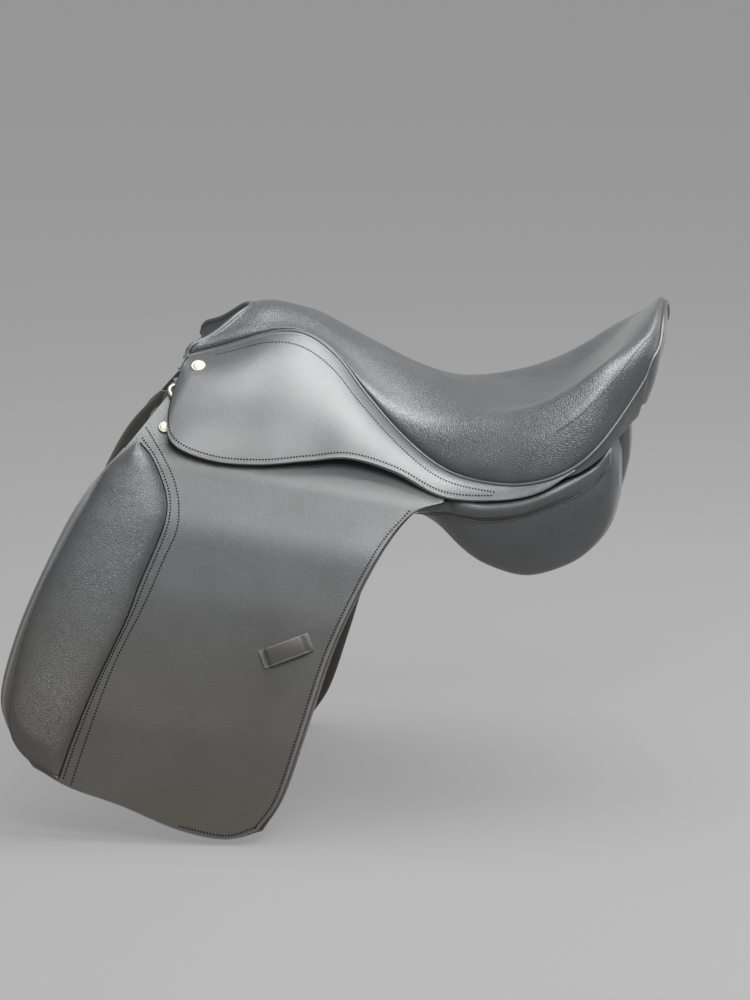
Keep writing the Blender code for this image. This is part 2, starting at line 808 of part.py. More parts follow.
def skirt_axis(side):
    """Two points on the line about which the skirt's lobe lifts, which runs outside the bulge of the leather."""
    out = np.array((0.0, side * LOBE_AXIS_OUT, 0.0))
    front = outer_point(LOBE_FRONT[0], side * LOBE_FRONT[1]) + out
    rear = outer_point(LOBE_REAR[0], side * LOBE_REAR[1]) + out
    return front, rear


def skirt_split(row):
    """Place across at which the lobe parts from the fixed skirt, for rows of the lobe."""
    start, end = skirt_axis(1)
    line = unit(end - start)
    low = 1.0
    high = SKIRT_EDGE
    for _ in range(30):
        middle = (low + high) / 2
        point = outer_point(row, middle)
        on_line = start + line * np.dot(point - start, line)
        if point[2] > on_line[2]:
            low = middle
        else:
            high = middle
    return (low + high) / 2


def build_skirts():
    seam_gap = (PIPING_RADIUS + SOFT_GAP) * SKIRT_SEAM_SHARE
    hinged = spread(LOBE_FRONT[0], LOBE_REAR[0], 10)
    top_rows = [0.0] + hinged + spread(LOBE_REAR[0], SKIRT_LAST, 7)[1:]
    lobe_rows = spread(LOBE_FRONT[0] + LOBE_SETBACK[0], LOBE_REAR[0] - LOBE_SETBACK[1], LOBE_ROWS)
    for name, side in SIDES:
        points = []
        for row in top_rows:
            end = skirt_split(row) if row in hinged else SKIRT_EDGE
            length = np.linalg.norm(outer_point(row, SKIRT_EDGE) - outer_point(row, 1))
            start = 1 + seam_gap / length
            points.append([outer_point(row, side * v) for v in spread(start, end, 6)])
        sheet_solid("skirt_top_" + name, points, SKIRT_THICK, (0, side, 0.5), saddle, leather_smooth)
        points = []
        for row in lobe_rows:
            line = [outer_point(row, side * v) for v in spread(skirt_split(row), SKIRT_EDGE, 6)]
            line[0] = line[0] + unit(line[1] - line[0]) * LOBE_GAP
            points.append(line)
        lobe = sheet_solid("skirt_" + name, points, SKIRT_THICK, (0, side, 0.5), saddle, leather_smooth)
        front, _ = skirt_axis(side)
        hang_on(lobe, front)


def side_sheet(name, places, depth, thickness, side, material):
    """A sheet hanging at a depth inside the flap's outer face, over rows of places in side view."""
    faces = []
    for inside in (depth, depth + thickness):
        faces.append([[flap_point(x, z, inside, side) for x, z in row] for row in places])
    return solid_between(name, *faces, saddle, material)


def build_flaps():
    for name, side in SIDES:
        upper = [HINGE_FRONT, HINGE_REAR]
        points = []
        for row in patch(FLAP_FRONT_EDGE, FLAP_REAR_EDGE, upper, FLAP_LOWER_EDGE, 11, 12):
            line = []
            for x, z in row:
                distance = max(hinge_distance(x, z), SOFT_GAP / 2)
                line.append((x, height_at(x, distance)))
            points.append(line)
        flap = side_sheet("flap_" + name, points, 0, FLAP_THICK, side, leather_smooth)
        hang_on(flap, flap_point(*HINGE_FRONT, 0, side))

        points = []
        for share in spread(0, 1, 12):
            x = HINGE_FRONT[0] + (HINGE_REAR[0] - HINGE_FRONT[0]) * share
            top = head_top(share)
            line = []
            for k in range(5):
                distance = -SOFT_GAP / 2 + (top + SOFT_GAP / 2) * k / 4
                spot = x + HEAD_LEAN * (-distance) * max(0, 1 - share * 5)
                line.append((spot, height_at(spot, distance)))
            points.append(line)
        side_sheet("flap_head_" + name, points, 0, FLAP_THICK, side, leather_smooth)

        upper = [HINGE_FRONT, HINGE_REAR]
        front = [(x - SWEAT_MARGIN * min(i, 1), z) for i, (x, z) in enumerate(FLAP_FRONT_EDGE)]
        rear = [(x + SWEAT_MARGIN * min(i, 1), z) for i, (x, z) in enumerate(FLAP_REAR_EDGE)]
        lower = [(x, z - SWEAT_MARGIN) for x, z in FLAP_LOWER_EDGE]
        front[-1] = (front[-1][0], front[-1][1] - SWEAT_MARGIN)
        rear[-1] = (rear[-1][0], rear[-1][1] - SWEAT_MARGIN)
        lower[0] = front[-1]
        lower[-1] = rear[-1]
        points = []
        for row in patch(front, rear, upper, lower, 9, 10):
            line = []
            for x, z in row:
                distance = max(hinge_distance(x, z), SWEAT_TOP)
                line.append((x, height_at(x, distance)))
            points.append(line)
        side_sheet("sweat_flap_" + name, points, sweat_depth(), SWEAT_THICK, side, leather_smooth)


def head_top(share):
    """Distance above the hinge line (negative) of the flap head's top edge."""
    front, middle, rear = HEAD_RISE
    if share < HEAD_STEPS[0]:
        return -front
    return -float(np.interp(share, (HEAD_STEPS[1], 1), (middle, rear)))


def sweat_depth():
    """Depth of the sweat flap's outer face inside the flap's outer face."""
    return FLAP_THICK + 2 * GUARD_THICK + BILLET_THICK + 3 * LAYER_GAP


def billet_depth():
    return FLAP_THICK + LAYER_GAP + GUARD_THICK + SOFT_GAP


def build_knee_rolls():
    front = []
    for x, z in FLAP_FRONT_EDGE:
        front.append((x + KNEE_ROLL_INSET, z))
    front[0] = tuple(np.add(KNEE_ROLL_REAR_EDGE[0], KNEE_ROLL_HEAD))
    rear = KNEE_ROLL_REAR_EDGE
    front[-1] = (front[-1][0], front[-1][1] + KNEE_ROLL_INSET)
    upper = [front[0], rear[0]]
    lower = [front[-1], rear[-1]]
    across = 7
    down = 14
    wide, long, rise = KNEE_ROLL_FULLNESS
    flat = patch(front, rear, upper, lower, across, down)
    for name, side in SIDES:
        crown = []
        base = []
        for j, row in enumerate(flat):
            v = j / down
            crown_row = []
            base_row = []
            for i, (x, z) in enumerate(row):
                u = i / across
                swell = (1 - abs(2 * u - 1) ** wide) * (1 - abs(2 * v - 1) ** long)
                height = KNEE_ROLL_EDGE + KNEE_ROLL_CROWN * max(swell, 0) ** rise
                crown_row.append(flap_point(x, z, -height, side))
                base_row.append(flap_point(x, z, -SOFT_GAP, side))
            crown.append(crown_row)
            base.append(base_row)
        roll = solid_between("knee_roll_" + name, crown, base, saddle, leather_grain)
        hang_on(roll, flap_point(*HINGE_FRONT, 0, side))


def build_keepers():
    """A strap with two feet, standing off the flap so that the stirrup leather passes under it."""
    half = KEEPER_LENGTH / 2
    foot = KEEPER_FOOT
    height = KEEPER_SLOT + KEEPER_STRAP
    outline = [
        (-half, 0),
        (-half + foot, 0),
        (-half + foot, KEEPER_SLOT),
        (half - foot, KEEPER_SLOT),
        (half - foot, 0),
        (half, 0),
        (half, height),
        (-half, height),
    ]
    x, z = KEEPER_CENTRE
    for name, side in SIDES:
        run = PROBE * math.cos(KEEPER_TILT)
        rise = PROBE * math.sin(KEEPER_TILT)
        front = Vector(flap_point(x - run, z - rise, 0, side))
        rear = Vector(flap_point(x + run, z + rise, 0, side))
        low = Vector(flap_point(x + rise, z - run, 0, side))
        high = Vector(flap_point(x - rise, z + run, 0, side))
        lengthwise = (rear - front).normalized()
        normal = lengthwise.cross(high - low).normalized()
        if normal.y * side < 0:
            normal = -normal
        origin = Vector(flap_point(x, z, 0, side)) + normal * SOFT_GAP
        matrix = frame_matrix(origin, lengthwise, normal, lengthwise.cross(normal))
        keeper = outline_solid("keeper_" + name, [outline], KEEPER_HEIGHT, matrix, saddle, leather_smooth)
        hang_on(keeper, flap_point(*HINGE_FRONT, 0, side))


def panel_sections(entry, side):
    """The upper and the bearing outline of one section of the panel, channel edge first."""
    x, channel, channel_top, channel_low, corner_y, corner_z, edge_y, edge_z, lean = entry
    top = []
    low = []
    rise = -PANEL_SAG if x < PANEL_SAG_END else PANEL_CROWN
    for share in PANEL_TOP_SHARES:
        y = channel + (corner_y - channel) * share
        sag = rise * math.sin(math.pi * share)
        top.append((y, channel_top + (corner_z - channel_top) * share + sag))
    for share in PANEL_SIDE_SHARES:
        y = corner_y + (edge_y - corner_y) * share + PANEL_SIDE_BULGE * math.sin(math.pi * share)
        z = corner_z - PANEL_CORNER_DROP + (edge_z - corner_z + PANEL_CORNER_DROP) * share
        limit = flap_half_width(hinge_distance(x, z)) - sweat_depth() - SWEAT_THICK - SOFT_GAP
        if x < HINGE_REAR[0] + SWEAT_REACH:
            y = min(y, limit)
        top.append((y, z))
    top.append((edge_y - PANEL_EDGE_INSET, edge_z))
    for i in range(len(top)):
        share = i / (len(top) - 1)
        y = channel + (edge_y - PANEL_BEARING_INSET - channel) * share
        z = channel_low + (edge_z - channel_low) * share
        z += -PANEL_BEARING_BULGE * math.sin(math.pi * share)
        low.append((y, max(z, 0.0)))
    reach = []
    for line in (top, low):
        reach.append([np.array((x - lean * (channel_top - z), side * y, z)) for y, z in line])
    return reach


def build_panels():
    for name, side in SIDES:
        upper = []
        lower = []
        for t in spread(0, len(PANEL_ROWS) - 1, 22):
            top, low = panel_sections(tuple(spline(PANEL_ROWS, t)), side)
            upper.append(top)
            lower.append(low)
        solid_between("panel_" + name, upper, lower, saddle, leather_grain)


def build_girth_straps():
    for name, side in SIDES:
        for label, centre in zip(BILLET_NAMES, BILLET_CENTRES):
            rows = []
            for distance in BILLET_ROWS:
                half = BILLET_WIDTH / 2
                if distance == BILLET_ROWS[-1]:
                    half *= BILLET_POINT_SHARE
                places = [centre - half, centre, centre + half]
                rows.append([(x, height_at(x, distance)) for x in places])
            side_sheet(
                f"girth_strap_{label}_{name}", rows, billet_depth(), BILLET_THICK, side, leather_smooth
            )
        rows = []
        reach = (BILLET_CENTRES[0] - BILLET_WIDTH / 2, BILLET_CENTRES[-1] + BILLET_WIDTH / 2)
        for distance, depth in GIRTH_WEB_ROWS:
            line = []
            for x in spread(*reach, 5):
                line.append((x, height_at(x, distance), FLAP_THICK + LAYER_GAP + depth))
            rows.append(line)
        faces = []
        for extra in (0, GIRTH_WEB_THICK):
            faces.append([[flap_point(x, z, d + extra, side) for x, z, d in row] for row in rows])
        solid_between("girth_web_" + name, *faces, saddle, web_linen)
        build_guard(name, side, reach)


def guard_frame(side):
    """The guard's place: its centre, and the directions along, down and out of the straps."""
    centre_x = BILLET_CENTRES[1]
    top = height_at(centre_x, GUARD_TOP_DISTANCE)
    low = height_at(centre_x, GUARD_TOP_DISTANCE + GUARD_HEIGHT)
    depth = billet_depth() + BILLET_THICK / 2
    a = Vector(flap_point(centre_x, top, depth, side))
    b = Vector(flap_point(centre_x, low, depth, side))
    c = Vector(flap_point(centre_x + PROBE, low, depth, side))
    down = (b - a).normalized()
    lengthwise = (c - b).normalized()
    outward = lengthwise.cross(down).normalized()
    if outward.y * side < 0:
        outward = -outward
    return (a + b) / 2, lengthwise, down, outward


def build_guard(name, side, reach):
    """A flat sleeve of leather round the three straps."""
    centre, lengthwise, down, outward = guard_frame(side)
    half = (reach[1] - reach[0]) / 2 + GUARD_MARGIN
    inner_half = half - GUARD_SEAM
    inside = BILLET_THICK * abs(outward.y) / 2 + 2 * GAP
    outside = inside + GUARD_WALL
    outline = [(-half, -outside), (half, -outside), (half, outside), (-half, outside)]
    hole = [(-inner_half, -inside), (inner_half, -inside), (inner_half, inside), (-inner_half, inside)]
    matrix = frame_matrix(centre, lengthwise, outward, lengthwise.cross(outward))
    guard = outline_solid(
        "buckle_guard_" + name, [outline, hole], GUARD_HEIGHT, matrix, saddle, leather_smooth
    )
    hang_on(guard, centre)


def bar_frame(side):
    """Origin on the skirt's outer face above the bar, with directions along, out and up."""
    start = outer_point(BAR_ROWS[0], side * BAR_ACROSS)
    end = outer_point(BAR_ROWS[1], side * BAR_ACROSS)
    origin = (start + end) / 2
    lengthwise = Vector(unit(end - start))
    normal = Vector(outer_normal(sum(BAR_ROWS) / 2, side * BAR_ACROSS, 0.25))
    if normal.y * side < 0:
        normal = -normal
    upward = normal.cross(lengthwise).normalized()
    normal = lengthwise.cross(upward).normalized()
    if normal.y * side < 0:
        normal = -normal
    if upward.z < 0:
        upward = -upward
    bulge = Vector(outer_point(sum(BAR_ROWS) / 2, side * BAR_ACROSS) - origin)
    return Vector(origin) + normal * min(bulge.dot(normal), 0), lengthwise, normal, upward


def catch_frame(side):
    """The catch pin's foot on the skirt's outer face, and its frame, with local Z outward."""
    origin, lengthwise, normal, _ = bar_frame(side)
    pivot = origin + lengthwise * (BAR_LENGTH - CATCH_LAP) / 2
    return pivot, frame_matrix(pivot, lengthwise, normal.cross(lengthwise), normal)


def catch_outline():
    """The catch seen along its pin: a bar with two round ends, the pin in the centre of one."""
    radius = CATCH_WIDTH / 2
    far = CATCH_LENGTH - radius
    points = []
    for centre, start in ((far, -math.pi / 2), (0.0, math.pi / 2)):
        for angle in spread(start, start + math.pi, 7):
            points.append((centre + radius * math.cos(angle), radius * math.sin(angle)))
    return points


def build_stirrup_bars(tree):
    half = BAR_LENGTH / 2
    plate_in = -bar_plate_depth()
    plate_out = plate_in + BAR_PLATE_THICK
    arm_in = plate_out + LEATHER_GAP
    arm_out = arm_in + BAR_ARM_THICK
    lap = arm_out - BAR_ARM_THICK * CATCH_SHARE
    outline = [
        (-half, plate_in),
        (half, plate_in),
        (half, plate_out),
        (-half + BAR_FOOT, plate_out),
        (-half + BAR_FOOT, arm_in),
        (half, arm_in),
        (half, lap),
        (half - CATCH_LAP, lap),
        (half - CATCH_LAP, arm_out),
        (-half, arm_out),
    ]
    for name, side in SIDES:
        origin, lengthwise, normal, upward = bar_frame(side)
        matrix = frame_matrix(origin, lengthwise, normal, lengthwise.cross(normal))
        bar = outline_solid("stirrup_bar_" + name, [outline], BAR_HEIGHT, matrix, saddle, steel)
        pivot, pin_frame = catch_frame(side)
        hole = cutter_rod("pin_hole_" + name, PIN_RADIUS + GAP, arm_in - CUT_PAST, arm_out + CUT_PAST, pin_frame)
        cut(bar, hole)
        catch_frame_out = pin_frame @ Matrix.Translation((0, 0, (lap + GAP + arm_out) / 2))
        catch = outline_solid(
            "bar_catch_" + name, [catch_outline()], arm_out - lap - GAP, catch_frame_out, saddle, steel
        )
        cut(catch, hole)
        hang_on(catch, pivot)
        pin = [(PIN_RADIUS, arm_in - GAP, arm_out + GAP)]
        round_solid("catch_pin_" + name, pin, pin_frame, saddle, steel, 12)
        inner = plate_in - RIVET_GRIP
        head = plate_out + GAP
        rivet = [(RIVET_RADIUS, inner, head), (RIVET_HEAD_RADIUS, head, head + RIVET_HEAD_HEIGHT)]
        for label, place in (("front", -RIVET_SPAN / 2), ("rear", RIVET_SPAN / 2)):
            spot = origin + lengthwise * place
            spot_frame = frame_matrix(spot, lengthwise, normal.cross(lengthwise), normal)
            round_solid(f"bar_rivet_{label}_{name}", rivet, spot_frame, saddle, steel, 12)
            ends = (inner - CUT_PAST, plate_out + CUT_PAST)
            bore = cutter_rod(f"rivet_hole_{label}_{name}", RIVET_RADIUS + GAP, *ends, spot_frame)
            cut(bar, bore)
            cut(tree, bore)


def nail_profile(radius):
    """A domed head in two steps, as radius, from and to along its axis."""
    rim = SOFT_GAP + NAIL_RIM
    return [(radius, SOFT_GAP, rim), (radius * NAIL_CROWN_SHARE, rim, NAIL_HEIGHT)]


def build_nails():
    for name, side in SIDES:
        place = outer_point(NAIL_ROW, side * NAIL_ACROSS)
        normal = Vector(outer_normal(NAIL_ROW, side * NAIL_ACROSS, 0.2))
        if normal.y * side < 0:
            normal = -normal
        x_axis = normal.orthogonal().normalized()
        matrix = frame_matrix(Vector(place), x_axis, normal.cross(x_axis), normal)
        round_solid("skirt_nail_" + name, nail_profile(NAIL_RADIUS), matrix, saddle, white_metal, 20)
        x, z = STUD_PLACE
        place = Vector(flap_point(x, z, 0, side))
        above = Vector(flap_point(x, z + NEAR_PROBE, 0, side))
        beside = Vector(flap_point(x + NEAR_PROBE, z, 0, side))
        normal = (above - place).cross(beside - place).normalized()
        if normal.y * side < 0:
            normal = -normal
        x_axis = normal.orthogonal().normalized()
        matrix = frame_matrix(place, x_axis, normal.cross(x_axis), normal)
        round_solid("flap_stud_" + name, nail_profile(STUD_RADIUS), matrix, saddle, white_metal, 20)


def dee_frame(side):
    """Pivot of the dee ring, with directions along its straight bar, out and down."""
    x, z = DEE_PLACE
    place = Vector(flap_point(x, z, 0, side))
    low = Vector(flap_point(x, z - 2 * PROBE, 0, side))
    down = (low - place).normalized()
    lengthwise = Vector((1, 0, 0))
    outward = lengthwise.cross(down).normalized()
    if outward.y * side < 0:
        outward = -outward
    turn = Matrix.Rotation(-side * DEE_TILT, 3, outward)
    pivot = place + outward * (DEE_WIRE + CHAPE_WALL + DEE_STAND)
    return pivot, turn @ lengthwise, outward, turn @ down


def build_dees():
    for name, side in SIDES:
        pivot, lengthwise, outward, down = dee_frame(side)
        points = []
        half = DEE_WIDTH / 2
        for share in (-1, -0.5, 0, 0.5, 1):
            points.append(pivot + lengthwise * half * share)
        for angle in spread(0, math.pi, 9):
            x = half * math.cos(angle)
            y = DEE_HEIGHT * (DEE_SHOULDER + (1 - DEE_SHOULDER) * math.sin(angle))
            points.append(pivot + lengthwise * x + down * y)
        ring = tube("dee_ring_" + name, points, DEE_WIRE, saddle, white_metal, closed=True, sides=1)
        hang_on(ring, pivot)
        inner = DEE_WIRE + GAP
        outer = inner + CHAPE_WALL
        outline = [(outer, -CHAPE_LENGTH)]
        for angle in spread(0, math.pi, 7):
            outline.append((outer * math.cos(angle), outer * math.sin(angle)))
        outline.append((-outer, -CHAPE_LENGTH))
        hole = [(inner * math.cos(a), inner * math.sin(a)) for a in spread(0, 2 * math.pi, 11)[:-1]]
        matrix = frame_matrix(pivot, outward, down, outward.cross(down))
        outline_solid("dee_chape_" + name, [outline, hole], CHAPE_WIDTH, matrix, saddle, leather_smooth)


clear_scene()
saddle = make_collection("saddle")
cutters = make_collection("cutters", hidden=True)

leather_grain = make_material("leather_grain", (0.030, 0.030, 0.032), 0.48)
leather_smooth = make_material("leather_smooth", (0.024, 0.023, 0.024), 0.42)
foam_grey = make_material("foam_grey", (0.35, 0.34, 0.31), 0.9)
web_linen = make_material("web_linen", (0.42, 0.36, 0.26), 0.9)
wood = make_material("laminated_wood", (0.45, 0.29, 0.15), 0.6)
steel = make_material("steel", (0.45, 0.45, 0.47), 0.35, 1.0)
white_metal = make_material("white_metal", (0.75, 0.75, 0.74), 0.25, 1.0)

build_seat()
tree_frame = build_tree()
build_piping()
build_facings()
build_skirts()
build_flaps()
build_knee_rolls()
build_keepers()
build_panels()
build_girth_straps()
build_stirrup_bars(tree_frame)
build_nails()
build_dees()
print("saddle built:", len(saddle.objects), "pieces")
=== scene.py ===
from functools import partial
import math

import bmesh
import bpy
import numpy as np
from mathutils import Matrix, Vector, noise
from mathutils.bvhtree import BVHTree


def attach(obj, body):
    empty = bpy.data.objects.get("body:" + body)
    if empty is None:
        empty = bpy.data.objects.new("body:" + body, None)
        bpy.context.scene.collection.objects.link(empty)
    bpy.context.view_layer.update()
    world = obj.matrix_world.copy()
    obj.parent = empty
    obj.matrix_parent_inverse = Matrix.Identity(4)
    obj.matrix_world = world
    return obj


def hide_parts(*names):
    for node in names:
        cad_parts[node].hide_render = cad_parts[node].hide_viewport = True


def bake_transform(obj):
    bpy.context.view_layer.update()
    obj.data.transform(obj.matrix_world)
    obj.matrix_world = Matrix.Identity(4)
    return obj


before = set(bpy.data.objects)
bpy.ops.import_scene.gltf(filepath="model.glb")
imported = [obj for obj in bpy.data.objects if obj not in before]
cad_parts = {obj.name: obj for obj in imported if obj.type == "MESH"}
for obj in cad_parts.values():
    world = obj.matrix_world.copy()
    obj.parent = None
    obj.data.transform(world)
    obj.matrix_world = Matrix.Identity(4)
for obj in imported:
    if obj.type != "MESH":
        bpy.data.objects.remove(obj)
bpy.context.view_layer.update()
sides = (("left", -1), ("right", 1))
print("frame loaded:", len(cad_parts), "solids")

# The saddle's own lines, in metres. Rows run from the pommel to the cantle.
# Each seat row: centre x and z, rim height, then the seam's x, half width and z.
seatRows = [
    (-0.203, 0.2355, 0.213, -0.258, 0.060, 0.1955),
    (-0.194, 0.238, 0.219, -0.236, 0.056, 0.2010),
    (-0.181, 0.238, 0.2245, -0.211, 0.054, 0.2085),
    (-0.165, 0.234, 0.226, -0.175, 0.050, 0.2185),
    (-0.143, 0.227, 0.2205, -0.146, 0.053, 0.2165),
    (-0.118, 0.213, 0.204, -0.117, 0.063, 0.1975),
    (-0.088, 0.196, 0.181, -0.089, 0.084, 0.167),
    (-0.050, 0.175, 0.158, -0.050, 0.107, 0.130),
    (-0.009, 0.159, 0.149, -0.008, 0.127, 0.1035),
    (0.035, 0.151, 0.154, 0.040, 0.142, 0.0955),
    (0.068, 0.153, 0.165, 0.078, 0.147, 0.0995),
    (0.098, 0.163, 0.182, 0.110, 0.143, 0.1125),
    (0.128, 0.187, 0.200, 0.133, 0.133, 0.132),
    (0.155, 0.219, 0.214, 0.152, 0.116, 0.156),
    (0.177, 0.2425, 0.222, 0.1640, 0.103, 0.1735),
    (0.1870, 0.2415, 0.214, 0.1754, 0.090, 0.1915),
]
# The skirt's lower edge at rows 0 to 11
skirtRows = [
    (-0.262, 0.094, 0.185), (-0.269, 0.136, 0.152), (-0.262, 0.153, 0.129),
    (-0.228, 0.158, 0.1165), (-0.182, 0.156, 0.113), (-0.137, 0.151, 0.1165),
    (-0.098, 0.149, 0.1195), (-0.055, 0.149, 0.1075), (-0.010, 0.152, 0.0855),
    (0.042, 0.154, 0.0835), (0.080, 0.152, 0.0910), (0.1115, 0.1450, 0.1105),
]
# The flap bends along this line; its half width follows the distance below it.
hingeFront = (-0.306, 0.126)
hingeRear = (-0.024, 0.081)
flapProfile = [
    (-0.100, 0.045), (-0.050, 0.100), (0.000, 0.150), (0.060, 0.176),
    (0.120, 0.1935), (0.240, 0.219), (0.380, 0.239),
]
flapFrontEdge = [
    (-0.306, 0.126), (-0.343, 0.080), (-0.376, 0.017), (-0.4025, -0.048),
    (-0.415, -0.104), (-0.403, -0.140), (-0.384, -0.164),
]
flapLowerEdge = [
    (-0.384, -0.164), (-0.352, -0.182), (-0.304, -0.198),
    (-0.250, -0.2195), (-0.206, -0.2275), (-0.176, -0.219),
]
flapRearEdge = [
    (-0.010, 0.0788), (-0.038, 0.0695), (-0.064, 0.0400), (-0.0895, -0.006),
    (-0.1135, -0.060), (-0.137, -0.134), (-0.156, -0.190), (-0.176, -0.219),
]
# The knee roll's rear edge, front edge and rounded foot, and the second row of stitches behind it
rollRearEdge = [
    (-0.2945, 0.1290), (-0.2815, 0.1149), (-0.2684, 0.0858), (-0.2674, 0.0638), (-0.2757, 0.0389),
    (-0.2903, 0.0037), (-0.3026, -0.0296), (-0.3278, -0.0834), (-0.3479, -0.1323), (-0.362, -0.1729),
]
rollFrontEdge = [
    (-0.2968, 0.1300), (-0.3056, 0.1225), (-0.3231, 0.1060), (-0.3325, 0.0906), (-0.3444, 0.0682),
    (-0.3617, 0.0355), (-0.3800, -0.0010), (-0.3960, -0.0445), (-0.4045, -0.0819), (-0.4085, -0.1094),
]
rollFoot = [(-0.4085, -0.1094), (-0.4045, -0.1352), (-0.3932, -0.1524), (-0.3785, -0.1622), (-0.362, -0.1729)]
rollStitches = [
    (-0.2898, 0.1412), (-0.2713, 0.1173), (-0.2598, 0.0956), (-0.2548, 0.0736), (-0.2566, 0.0518),
    (-0.2675, 0.0267), (-0.2847, -0.0139), (-0.3123, -0.0704), (-0.3373, -0.1401), (-0.350, -0.1795),
]
# Panel sections: x, channel edge, its top and bottom, the upper outer corner,
# the lower outer edge, and how far the lower edge leads the top.
panelRows = [
    (-0.292, 0.056, 0.146, 0.132, 0.128, 0.121, 0.166, 0.018, 0.40),
    (-0.262, 0.052, 0.163, 0.126, 0.130, 0.116, 0.166, 0.014, 0.35),
    (-0.215, 0.048, 0.1712, 0.116, 0.131, 0.107, 0.158, 0.020, 0.25),
    (-0.165, 0.045, 0.158, 0.102, 0.132, 0.099, 0.148, 0.036, 0.15),
    (-0.110, 0.042, 0.124, 0.088, 0.131, 0.089, 0.130, 0.056, 0.05),
    (-0.060, 0.040, 0.104, 0.078, 0.131, 0.082, 0.112, 0.064, 0.0),
    (-0.025, 0.039, 0.096, 0.066, 0.135, 0.082, 0.107, 0.052, 0.0),
    (0.005, 0.038, 0.092, 0.046, 0.141, 0.082, 0.110, 0.024, 0.0),
    (0.030, 0.038, 0.092, 0.028, 0.143, 0.080, 0.112, 0.009, 0.0),
    (0.066, 0.038, 0.096, 0.016, 0.143, 0.086, 0.114, 0.001, 0.0),
    (0.105, 0.039, 0.108, 0.020, 0.138, 0.102, 0.113, 0.013, 0.0),
    (0.128, 0.042, 0.120, 0.034, 0.129, 0.114, 0.110, 0.031, 0.0),
    (0.143, 0.050, 0.128, 0.054, 0.122, 0.1296, 0.106, 0.054, 0.0),
    (0.151, 0.064, 0.116, 0.082, 0.104, 0.114, 0.100, 0.084, 0.0),
]
lastRow = len(seatRows) - 1
skirtLast = len(skirtRows) - 1
hingeSlope = math.atan2(hingeFront[1] - hingeRear[1], hingeRear[0] - hingeFront[0])
gap = 0.0008          # between two layers
coverThick = 0.0022
foamThick = 0.023
skirtThick = 0.0045
flapThick = 0.0040
strapThick = 0.0040
guardThick = 0.0020
sweatThick = 0.0030
pipingRadius = 0.0020
seamGap = 0.0003      # beside the piping
seamRadius = 0.0005
deeRoom = 0.0035      # for the dee ring, under the front of the skirt's lobe
lobeBulge = 0.09      # as a share of the skirt's fall
# The seat's section at five places across: half width there, as a share of the seam's
sectionShares = (0.0, 0.38, 0.74, 0.92, 1.0)
sectionWidths = (0.0, 0.42, 0.80, 0.965, 1.0)
shoulderRise, borderFall = 0.2, 0.42      # shares of the height from centre to rim, and from rim to seam
rowTurn, cantleTurn = 2, 9      # how late a row bends towards its seam's x
threadLift = 0.0001   # of stitches, off the leather
mirror = np.array((1, -1, 1))
norm = np.linalg.norm


def unit(vector):
    return vector / norm(vector)


def towards(normal, side):
    # turned to face outwards on its side of the saddle
    return normal if normal[1] * side > 0 else -normal


def hump(share):
    return math.sin(math.pi * share)


def spline(values, t):
    # smooth curve through the values, which stand at 0, 1, 2 and so on
    values = np.asarray(values, float)
    last = len(values) - 1
    t = min(max(t, 0.0), float(last))
    i = min(int(t), last - 1)
    f = t - i
    p1, p2 = values[i], values[i + 1]
    p0 = values[i - 1] if i > 0 else 2 * p1 - p2
    p3 = values[i + 2] if i + 2 <= last else 2 * p2 - p1
    cubic = 3 * p1 - p0 - 3 * p2 + p3
    square = 2 * p0 - 5 * p1 + 4 * p2 - p3
    return 0.5 * (2 * p1 + (p2 - p0) * f + square * f**2 + cubic * f**3)


def along(values, share):
    return spline(values, share * (len(values) - 1))


def spread(low, high, count):
    return [low + (high - low) * i / (count - 1) for i in range(count)]


def smooth(low, high, value):
    t = min(max((value - low) / (high - low), 0.0), 1.0)
    return t * t * (3 - 2 * t)


def outerPoint(row, across):
    # on the seat up to across 1, the seam, and on the skirt from 1 to 2; negative is the near side
    side = -1.0 if across < 0 else 1.0
    share = abs(across)
    centreX, centreZ, rimZ, seamX, seamY, seamZ = spline(seatRows, row)
    if share <= 1:
        shoulder = centreZ + shoulderRise * (rimZ - centreZ)
        border = rimZ - borderFall * (rimZ - seamZ)
        section = list(zip(sectionWidths, (centreZ, shoulder, rimZ, border, seamZ)))
        # a point on the far side first, so that the curve is level at the centre
        section = [(-sectionWidths[1], shoulder)] + section
        breadth, z = spline(section, 1 + np.interp(share, sectionShares, range(len(sectionShares))))
        turn = rowTurn + (cantleTurn - rowTurn) * smooth(12.5, lastRow, row)
        return np.array((centreX + (seamX - centreX) * abs(breadth)**turn, side * seamY * breadth, z))
    start = np.array((seamX, seamY, seamZ))
    drop = share - 1
    fall = spline(skirtRows, row) - start
    outward = unit(np.array((0.0, -fall[2], fall[1])))
    point = start + fall * drop + outward * lobeBulge * norm(fall) * 4 * drop * (1 - drop)
    point = point + outward * deeRoom * smooth(3.6, 1.8, row) * smooth(0.1, 0.6, drop)
    return np.array((point[0], side * point[1], point[2]))


def rowStep(row, across, step):
    # from a step before the row to a step behind it
    last = lastRow if abs(across) <= 1 else skirtLast
    return outerPoint(min(row + step, last), across) - outerPoint(max(row - step, 0.0), across)


def outerNormal(row, across):
    reach = 1.0 if row > skirtLast else 2.0
    crosswise = outerPoint(row, min(across + 0.05, reach)) - outerPoint(row, max(across - 0.05, -reach))
    return unit(np.cross(rowStep(row, across, 0.15), crosswise))


def inward(row, across):
    # into the saddle, leaning over steadily from the centre out
    lengthwise = unit(rowStep(row, across, 0.3))
    lean = math.radians(46) * min(abs(across) / 1.35, 1.0)
    side = -1.0 if across < 0 else 1.0
    upright = np.array((0.0, side * math.sin(lean), math.cos(lean)))
    return -unit(upright - lengthwise * np.dot(upright, lengthwise))


def below(row, across, depth):
    return outerPoint(row, across) + inward(row, across) * depth


def hingeDistance(x, z):
    return (hingeFront[1] - z) * math.cos(hingeSlope) - (x - hingeFront[0]) * math.sin(hingeSlope)


